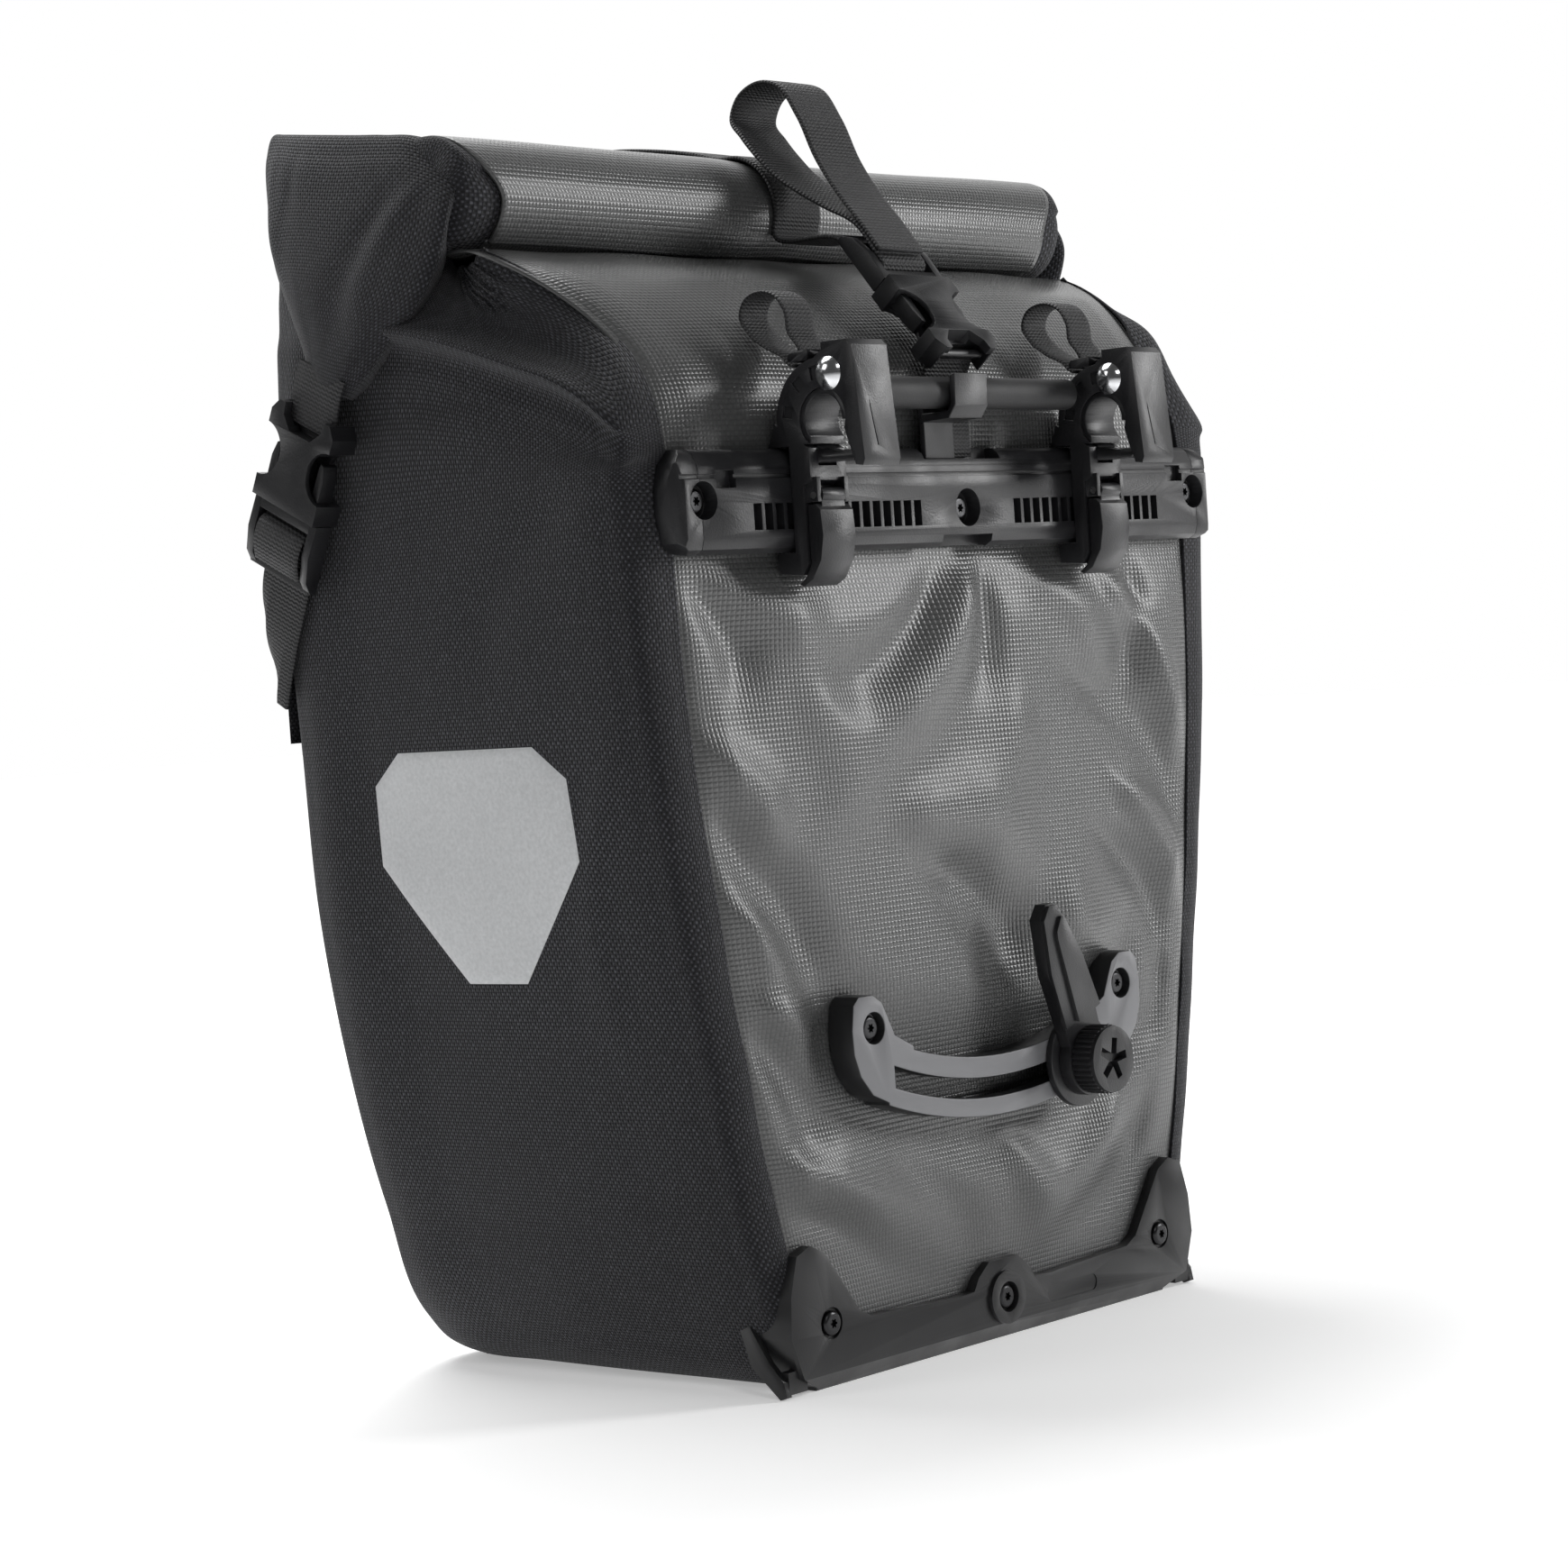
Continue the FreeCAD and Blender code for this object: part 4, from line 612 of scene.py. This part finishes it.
def closure_roll():
    """Outer turn of the rolled top: it starts and ends at the free edge under the front."""
    rings = []
    for share in np.linspace(-1, 1, 150):
        ring = roll_ring(share * ROLL_HALF, -1.6, start=-128.0, count=130)
        ring[:, 0] = share * roll_edge(ring)
        rings.append(ring)
    piece = grid_piece("closure_roll_skin", np.array(rings), "grey_fabric", 1.2, flip=True)
    return finish_piece(piece, "bag", "closure_roll")


CUFF_END = 163.0               # where the black ends of the roll stop


def roll_cuff(side):
    """Black end of the roll, gathered in to the middle."""
    rings = []
    for share, grow in ((-0.2, -1.8), (0.0, -1.2), (0.3, -1.0), (0.6, -1.4), (0.82, -2.8), (0.95, -5.5),
                        (1.0, -9.5),
                        (0.98, -14.0), (0.96, -18.0), (0.96, -19.8)):
        ring = roll_ring(ROLL_HALF * side, grow, count=97)[:-1]
        start = roll_edge(ring)
        ring[:, 0] = side * (start + share * (CUFF_END - start))
        rings.append(ring)
    fine = surface(rings, 70, 96)
    gather = 0.6 * np.sin(np.linspace(0, 1, 96) * 2 * math.pi * 7)[None, :] * np.linspace(0, 1, 70)[:,
                                                                                                    None] ** 2
    fine[..., 0] += gather
    piece = grid_piece("roll_cuff_" + tag_of(side), fine, "black_fabric", 0.0,
                       flip=side > 0, closed=True)
    return finish_piece(piece, "bag")


def ear_net():
    """Folded roll end hanging over the left side: rows from the top down to the strap."""
    return [
        [(-148, -14, 414), (-148, -11, 419), (-150, -2, 423.5), (-152, 16, 427), (-151, 31, 429),
         (-149, 60, 433),
         (-146, 77, 435.5), (-144, 82, 436), (-143, 85, 433)],
        [(-152, -16.5, 411), (-155.5, -13, 417.5), (-159.5, 0, 425.3), (-161, 16, 428.4), (-161, 31, 430.5),
         (-157, 60, 435), (-152, 77, 437.8), (-149.8, 84, 438.8), (-147.2, 87.5, 435)],
        [(-155, -18, 405), (-160, -16, 411), (-164.5, -3, 417.5), (-166.2, 14, 420.5), (-166.3, 31, 422.5),
         (-163, 58, 427), (-158.5, 74, 430), (-155.3, 82.5, 430.5), (-150.5, 88, 426)],
        [(-158, -10, 396), (-166, -18.0, 398.5), (-169, -6, 403), (-170, 13, 405.5), (-170, 33, 408),
         (-168, 56, 411.5), (-166, 67, 412.5), (-163.0, 74.5, 411.8), (-157, 82, 406)],
        [(-158, -6, 382), (-167, -13, 384.5), (-170.8, -3, 388), (-172.4, 14, 391), (-172.8, 33, 394),
         (-172, 50, 397), (-171, 61, 398), (-168.8, 67.5, 398), (-162, 75, 392)],
        [(-161, 4, 367), (-169.5, -3.5, 369), (-173.6, 4, 372), (-175.4, 18, 375.5), (-176, 33, 378.5),
         (-175.4, 46, 381), (-174, 54, 382.5), (-171.5, 59.5, 382.5), (-164.5, 67, 377)],
        [(-163, 18, 354.5), (-170, 12.5, 357), (-174.2, 18, 359), (-176.3, 26, 361), (-176.8, 35, 363.5),
         (-176.2, 43, 365.5), (-175, 49, 367.5), (-172.8, 53, 367.5), (-166.5, 59, 363)],
        [(-165, 29, 344.5), (-171.5, 25, 345.5), (-175, 28, 347), (-176.6, 32, 348.5), (-177, 37, 350.5),
         (-176.4, 41.5, 352.5), (-175.2, 45, 354), (-173.2, 48, 354.5), (-168.5, 53, 352)],
        [(-168, 33, 341), (-172, 31, 341.5), (-174.8, 32, 342.5), (-176, 34, 344), (-176.2, 37.5, 345.5),
         (-175.8, 41, 347), (-174.8, 44, 348.5), (-173, 46.5, 349.5), (-169.5, 50, 349)],
    ]


def ear(side):
    tag = tag_of(side)
    grid = surface(ear_net(), 150, 150)
    y, z = grid[..., 1], grid[..., 2]
    inside = np.sin(np.linspace(0, math.pi, 150))[None, :] ** 0.7
    down = np.linspace(0, 1, 150)[:, None]
    folds = crease_height(y, z, np.array([(74, 425, 52, 372, 5, 1.5), (60, 420, 48, 366, 6, -1.2),
                                          (-6, 408, 22, 362, 6, 1.3), (10, 404, 30, 362, 7, -1.2)]))
    grid[..., 0] -= inside * (folds + 0.4 * ripple(y, z, 5, 45.0)) * np.clip(down * 6, 0, 1)
    if side > 0:
        grid[..., 0] *= -1.0
    piece = grid_piece("ear_skin_" + tag, grid, "black_fabric", 1.1, flip=side > 0)
    return finish_piece(piece, "bag", "ear_" + tag)


# ------------------------------------------------------------------ webbing
WEB_HALF = 12.3                # half the width of the straps


def ribbon(name, points, half, thick, x=0.0, drift=None):
    """Webbing with rolled edges along (y, z) points in mid thickness, moved along x by drift."""
    points = np.asarray(points, float)
    t = lengths(points)
    fine = spline(t, points, np.linspace(0, t[-1], max(int(t[-1] / 1.6), 8)))
    shift = spline(t, drift, np.linspace(0, t[-1], len(fine))) if drift else np.zeros(len(fine))
    tangent = np.gradient(fine, axis=0)
    tangent /= np.linalg.norm(tangent, axis=1)[:, None]
    normal = np.stack([-tangent[:, 1], tangent[:, 0]], axis=1)
    h = thick / 2
    section = [(-half, 0.0), (-half + 0.35, h * 0.8), (-half + 1.1, h), (-half * 0.5, h * 1.04),
               (0.0, h * 1.08),
               (half * 0.5, h * 1.04), (half - 1.1, h), (half - 0.35, h * 0.8), (half, 0.0)]
    section += [(a, -b) for a, b in section[-2:0:-1]]
    grid = np.empty((len(fine), len(section), 3))
    for k, (across, lift) in enumerate(section):
        grid[:, k, 0] = x + across + shift
        grid[:, k, 1] = fine[:, 0] + normal[:, 0] * lift
        grid[:, k, 2] = fine[:, 1] + normal[:, 1] * lift
    piece = grid_piece(name, grid, "webbing", closed=True)
    work = bmesh.new()
    work.from_mesh(piece.data)
    rims = [e for e in work.edges if e.is_boundary]
    bmesh.ops.contextual_create(work, geom=[e for e in rims if e.verts[0].index < len(section)])
    last = len(section) * (len(fine) - 1)
    bmesh.ops.contextual_create(work, geom=[e for e in rims if e.verts[0].index >= last])
    bmesh.ops.recalc_face_normals(work, faces=work.faces)
    work.to_mesh(piece.data)
    work.free()
    return piece


RISE = (0.620, 0.784)          # way that the top plug points back to the roll, in (y, z)
MOUTH = (-70.8, 368.6)         # middle of the top socket's mouth


def plug_point(v, w):
    """Place v up the plug from the mouth and w out from it."""
    return (MOUTH[0] + v * RISE[0] - w * RISE[1], MOUTH[1] + v * RISE[1] + w * RISE[0])


def on_roll(degrees, lift):
    a = math.radians(degrees)
    return (ROLL_Y + (ROLL_RY + lift) * math.cos(a), ROLL_Z + (ROLL_RZ + lift) * math.sin(a))


def top_straps():
    line = [(OUTER_Y + 5.6, 250.0), (OUTER_Y + 5.6, 300.0), (OUTER_Y + 4.6, 360.0), (OUTER_Y + 2.4, 410.0),
            (OUTER_Y - 1.0, 430.0), (OUTER_Y - 9.0, 436.6), (60.0, 437.0), (34.0, 434.0), (14.0, 430.0)]
    line += [on_roll(d, 1.5) for d in (84, 104, 124, 144, 164, 184, 200)]
    line += [plug_point(26.0, 1.0), plug_point(17.0, 1.0), plug_point(9.0, 1.0)]
    strap = ribbon("closure_strap_webbing", line, WEB_HALF, 1.6)
    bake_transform(strap)
    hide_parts("closure_strap")
    loop = [plug_point(12.0, 9.3), plug_point(27.0, 9.6), (-50.0, 402.6), (-40.5, 409.0), (-31.5, 416.0),
            (-24.5, 423.6), (-17.0, 431.6), (-9.8, 439.5), (-10.6, 446.6), (-19.5, 451.0), (-29.0, 448.8),
            (-37.8, 437.0), (-45.6, 420.4), (-54.4, 407.2), plug_point(25.0, 11.4), plug_point(12.0, 11.2)]
    drift = [0, -0.5, -2.5, -5, -7, -8, -7, -4, -1] + [0] * 7
    piece = ribbon("strap_loop_webbing", loop, WEB_HALF, 1.5, drift=drift)
    finish_piece(piece, "top_plug", "strap_loop")
    wrap = [plug_point(v, w) for v, w in ((9.0, 1.2), (6.6, 2.6), (6.4, 6.0), (8.0, 8.8), (11.5, 9.2))]
    finish_piece(ribbon("plug_wrap_webbing", wrap, 12.0, 1.5), "top_plug")
    tab = [plug_point(-30.5, 1.4), (-87.8, 339.0), (-87.3, 330.0), (-87.3, 311.0)]
    finish_piece(ribbon("buckle_tab_webbing", tab, WEB_HALF, 1.5), "bag", "buckle_tab")


def hook_loops():
    for tag in ("left", "right"):
        low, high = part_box("hook_body_" + tag)
        x = (low.x + high.x) / 2 / MM
        line = [(-101.2, 343.0), (-99.8, 347.0), (-96.0, 352.0), (-95.4, 358.0), (-91.6, 364.0),
                (-84.5, 366.4),
                (-77.4, 364.1), (-75.1, 359.0), (-77.9, 354.0), (-85.3, 348.1), (-92.8, 344.1),
                (-96.2, 340.9),
                (-98.5, 340.5)]
        piece = ribbon("pull_loop_webbing_" + tag, line, 7.0, 1.2, x=x)
        finish_piece(piece, "latch_" + tag, "pull_loop_" + tag)


SIDE_FALL = np.array([0.436, -0.900])    # way down a side strap, in (y, z)
SIDE_MOUTH = np.array([60.3, 306.5])     # where a side plug meets its socket
SIDE_STRAP_X = 168.0                     # x that the side straps are laid out from
TURN_Y, TURN_R = 82.0, 7.5               # where the lower strap turns round the outer corner


def side_strap(side):
    """Upper web from the ear, lower web from the plug down round the outer corner."""
    tag = tag_of(side)
    across = np.array([0.0, SIDE_FALL[1], -SIDE_FALL[0]])
    along = np.array([0.0, SIDE_FALL[0], SIDE_FALL[1]])
    base = np.array([side * SIDE_STRAP_X, *SIDE_MOUTH])
    out = np.array([side, 0.0, 0.0])

    def sheet_grid(stations, half):
        """Flat webbing through stations (along, out)."""
        stations = np.asarray(stations, float)
        t = lengths(stations)
        fine = spline(t, stations, np.linspace(0, t[-1], max(int(t[-1] / 1.5), 8)))
        step = np.gradient(fine, axis=0)
        step /= np.linalg.norm(step, axis=1)[:, None]
        h = 0.8
        section = [(-half, 0.0), (-half + 0.5, h * 0.9), (-half * 0.5, h), (half * 0.5, h),
                   (half - 0.5, h * 0.9),
                   (half, 0.0)]
        section += [(a, -b) for a, b in section[-2:0:-1]]
        grid = np.empty((len(fine), len(section), 3))
        for k, (w, lift) in enumerate(section):
            grid[:, k] = (base + np.outer(fine[:, 0] - step[:, 1] * lift, along)
                          + np.outer(fine[:, 1] + step[:, 0] * lift, out) + w * across)
        return grid

    upper = sheet_grid([(-50.0, 7.4), (-44.0, 7.8), (-38.0, 7.2), (-33.0, 6.8), (-29.2, 6.7)], 12.2)
    finish_piece(grid_piece("ear_webbing_" + tag, upper, "webbing", closed=True), "bag", "ear_strap_" + tag)
    lower = sheet_grid([(8.0, 1.2), (20.0, 1.2), (32.0, 0.8), (46.0, 0.4), (60.0, -0.8), (70.0, -2.0)],
                       WEB_HALF)
    wrap = sheet_grid([(22.0, 6.6), (17.0, 8.9), (11.0, 9.6), (7.4, 8.6), (5.6, 6.0), (5.9, 3.2),
                       (8.5, 1.3)], 12.0)
    finish_piece(grid_piece("plug_wrap_" + tag, wrap, "webbing", closed=True), "plug_" + tag)
    over = np.maximum(lower[..., 1] - TURN_Y, 0.0)
    bend = np.minimum(over / TURN_R, 1.25)
    lower[..., 0] -= side * (7.0 * (1 - np.cos(bend)) + np.maximum(over - 9.4, 0) * 0.95)
    lower[..., 1] = np.where(over > 0, TURN_Y + TURN_R * np.sin(bend), lower[..., 1])
    piece = grid_piece("side_webbing_" + tag, lower, "webbing", closed=True)
    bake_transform(piece)
    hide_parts("side_strap_" + tag)


def strap_patches(outer_tree):
    """Welded fabric patch over each lower strap end, laid on the outer panel."""
    for tag in ("left", "right"):
        low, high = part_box("strap_patch_" + tag)
        xs = np.linspace(low.x, high.x, 26)
        zs = np.linspace(low.z, high.z, 24)
        grid = np.empty((24, 26, 3))
        for i, z in enumerate(zs):
            for j, x in enumerate(xs):
                hit = outer_tree.ray_cast(Vector((x, 0.3, z)), Vector((0, -1, 0)))[0]
                rim = min(i, 23 - i, j, 25 - j)
                y = hit.y if hit else high.y
                grid[i, j] = (x / MM, y / MM + (0.2 if rim == 0 else 1.2), z / MM)
        piece = grid_piece("strap_patch_skin_" + tag, grid, "black_fabric", flip=True)
        finish_piece(piece, "bag", "strap_patch_" + tag)


def reflectors(trees):
    """Film patch that lies on the side fabric."""
    outline = [(31.5, 221), (44.5, 210), (45, 182.5), (13, 141.5)]
    centre = np.array([-1.0, 187.0])
    ring = np.array([(centre[0] + a, z) for a, z in outline] + [(centre[0] - a, z) for a,
                                                                z in outline[::-1]])
    around = []
    for i in range(len(ring)):
        a, b = ring[i], ring[(i + 1) % len(ring)]
        around += [a + (b - a) * s for s in np.linspace(0, 1, 14)[:-1]]
    around = np.array(around)
    for side, tag in ((-1, "left"), (1, "right")):
        grid = np.empty((22, len(around), 3))
        for r, share in enumerate(np.linspace(0.0, 1.0, 22)):
            for c, p in enumerate(centre + (around - centre) * share):
                start = Vector((side * 0.3, p[0] * MM, p[1] * MM))
                hit = trees[tag].ray_cast(start, Vector((-side, 0, 0)))[0]
                x = hit.x / MM if hit else side * 150.0
                grid[r, c] = (x + side * (0.55 if r < 21 else 0.05), p[0], p[1])
        piece = grid_piece("reflector_film_" + tag, grid, "reflector", flip=side > 0, closed=True)
        finish_piece(piece, "bag", "reflector_" + tag)


# ------------------------------------------------------------------ hard parts
# width of the rounded edges, and 0.3 for the rest
BEVELS = {"mounting_rail": 0.3, "rail_end_left": 1.0, "rail_end_right": 1.0, "edge_protector": 0.6,
          "lower_rail": 0.8,
          "lower_hook_blade": 0.7, "handle_clip": 0.5, "clamp_lever_left": 0.7, "clamp_lever_right": 0.7,
          "top_buckle_socket": 0.6, "top_buckle_plug": 0.5, "side_socket_left": 0.6,
          "side_socket_right": 0.6,
          "side_plug_left": 0.5, "side_plug_right": 0.5, "hook_body_left": 0.5, "hook_body_right": 0.5}


def softened(node, slot, width):
    """Copy of a moulded part with its edges rounded."""
    source = nodes[node]
    mesh = source.data.copy()
    piece = bpy.data.objects.new(node + "_moulded", mesh)
    bpy.context.scene.collection.objects.link(piece)
    mesh.materials.clear()
    mesh.materials.append(MATS[slot])
    work = bmesh.new()
    work.from_mesh(mesh)
    bmesh.ops.remove_doubles(work, verts=work.verts, dist=1e-6)
    bmesh.ops.dissolve_limit(work, angle_limit=math.radians(0.6), verts=work.verts, edges=work.edges)
    work.to_mesh(mesh)
    work.free()
    mesh.polygons.foreach_set("use_smooth", [True] * len(mesh.polygons))
    bevel = piece.modifiers.new("edge", "BEVEL")
    bevel.width = width * MM
    bevel.segments = 2
    bevel.limit_method = "ANGLE"
    bevel.angle_limit = math.radians(32.0)
    bevel.use_clamp_overlap = True
    bevel.harden_normals = True
    return finish_piece(piece, source["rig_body"], node)


SLOTS = {s["node"]: s["material_slot"] for s in frame["record"]["subparts"]}


def hard_parts():
    for name, slot in SLOTS.items():
        piece = nodes[name]
        if piece.hide_render:
            continue
        piece.data.materials.clear()
        piece.data.materials.append(MATS[slot])
        if slot in ("black_plastic", "satin_plastic", "grey_plastic") and name != "inner_pocket":
            softened(name, slot, BEVELS.get(name, 0.3))
        else:
            piece.data.polygons.foreach_set("use_smooth", [True] * len(piece.data.polygons))


# ------------------------------------------------------------------ scene
# name, place, aim, width, height and power of each lamp
LAMPS = (
    ("top", (0.1, 0.7, 1.7), (0, 0, 0.35), 1.4, 0.8, 26.0),
    ("front_right", (1.15, -1.05, 0.75), (0, -0.05, 0.22), 0.35, 0.8, 13.0),
    ("front_left", (-0.9, -1.5, 1.5), (0, -0.05, 0.25), 0.5, 0.5, 6.0),
    ("left", (-1.5, 0.7, 1.3), (0, 0, 0.3), 0.7, 0.7, 4.0),
)
FLOOR_HALF = 9.0
BEHIND_ON_FLOOR = (0.743, 0.669, 0.0)    # level way from the photo's side to behind the object
BEHIND_IN_ROOM = (0.72, 0.66, 0.12)      # the same a little up, to the middle of the white cove


def studio():
    size = FLOOR_HALF
    mesh = bpy.data.meshes.new("floor")
    mesh.from_pydata([(-size, -size, 0), (size, -size, 0), (size, size, 0), (-size, size, 0)], [],
                     [(0, 1, 2, 3)])
    floor = bpy.data.objects.new("floor", mesh)
    bpy.context.scene.collection.objects.link(floor)
    mat, tree, bsdf = new_material("pale_floor", 0.9)
    tree.links.new(ramp(tree, noise(tree, 3.0), [(0.3, (0.90, 0.90, 0.90)), (0.7, (0.92, 0.92, 0.92))]),
                   bsdf.inputs["Base Color"])
    # the floor glows white away from the object and behind it, where the lamps no longer reach
    coord = tree.nodes.new("ShaderNodeTexCoord")
    reach = tree.nodes.new("ShaderNodeVectorMath")
    reach.operation = "LENGTH"
    tree.links.new(coord.outputs["Object"], reach.inputs[0])
    away = calc(tree, "MULTIPLY", calc(tree, "SUBTRACT", reach.outputs["Value"], 0.35), 0.7, clamp=True)
    depth = tree.nodes.new("ShaderNodeVectorMath")
    depth.operation = "DOT_PRODUCT"
    depth.inputs[1].default_value = BEHIND_ON_FLOOR
    tree.links.new(coord.outputs["Object"], depth.inputs[0])
    behind = calc(tree, "MULTIPLY", calc(tree, "ADD", depth.outputs["Value"], 0.75), 2.5, clamp=True)
    glow = calc(tree, "MULTIPLY", calc(tree, "ADD", calc(tree, "MULTIPLY", away, 0.75), 0.34, clamp=True),
                calc(tree, "ADD", calc(tree, "MULTIPLY", behind, 0.93), 0.07))
    tree.links.new(ramp(tree, glow, [(0.0, 0.0), (1.0, 1.0)]), bsdf.inputs["Emission Color"])
    bsdf.inputs["Emission Strength"].default_value = 1.0
    bsdf.inputs["Specular IOR Level"].default_value = 0.1
    mesh.materials.append(mat)
    world = bpy.data.worlds.new("studio")
    world.use_nodes = True
    tree = world.node_tree
    # a white cove behind the object, dimmer elsewhere; fixed in the room
    coord = tree.nodes.new("ShaderNodeTexCoord")
    dot = tree.nodes.new("ShaderNodeVectorMath")
    dot.operation = "DOT_PRODUCT"
    dot.inputs[1].default_value = BEHIND_IN_ROOM
    tree.links.new(coord.outputs["Generated"], dot.inputs[0])
    glow = ramp(tree, dot.outputs["Value"], [(0.0, 0.06), (0.45, 0.10), (0.66, 0.40), (0.80, 1.0)])
    tree.links.new(glow, tree.nodes["Background"].inputs["Color"])
    tree.nodes["Background"].inputs["Strength"].default_value = 1.0
    bpy.context.scene.world = world
    for name, place, aim, width, height, power in LAMPS:
        data = bpy.data.lights.new(name, "AREA")
        data.shape = "RECTANGLE"
        data.size, data.size_y, data.energy = width, height, power
        lamp = bpy.data.objects.new(name, data)
        lamp.location = place
        lamp.rotation_mode = "QUATERNION"
        lamp.rotation_quaternion = (Vector(place) - Vector(aim)).to_track_quat("Z", "Y")
        bpy.context.scene.collection.objects.link(lamp)


# the camera fitted to the photo: turns in radians, place in metres, lens in millimetres
YAW, PITCH, ROLL = 0.8375178, -0.0355532, -0.0660831
CAMERA_PLACE = (-0.9996, -0.9005, 0.2463)
LENS = 84.18


def camera():
    ahead = Vector((math.sin(YAW) * math.cos(PITCH), math.cos(YAW) * math.cos(PITCH), math.sin(PITCH)))
    right = Vector((math.cos(YAW), -math.sin(YAW), 0.0))
    up = right.cross(ahead)
    r2 = math.cos(ROLL) * right + math.sin(ROLL) * up
    u2 = -math.sin(ROLL) * right + math.cos(ROLL) * up
    data = bpy.data.cameras.new("camera")
    data.lens, data.sensor_width = LENS, 36.0
    cam = bpy.data.objects.new("camera", data)
    bpy.context.scene.collection.objects.link(cam)
    place = Vector(CAMERA_PLACE)
    cam.matrix_world = Matrix(((r2.x, u2.x, -ahead.x, place.x), (r2.y, u2.y, -ahead.y, place.y),
                               (r2.z, u2.z, -ahead.z, place.z), (0, 0, 0, 1)))
    bpy.context.scene.camera = cam


def tree_of(piece):
    mesh = piece.data
    return BVHTree.FromPolygons([v.co.copy() for v in mesh.vertices],
                                [tuple(p.vertices) for p in mesh.polygons])


camera()
rack_panel()
outer = outer_panel()
sides = gusset()
closure_roll()
for sign in (-1, 1):
    roll_cuff(sign)
    ear(sign)
    side_strap(sign)
top_straps()
hook_loops()
strap_patches(tree_of(outer))
reflectors({"left": tree_of(sides[0]), "right": tree_of(sides[1])})
hard_parts()
studio()
bpy.context.scene.view_settings.view_transform = "Standard"
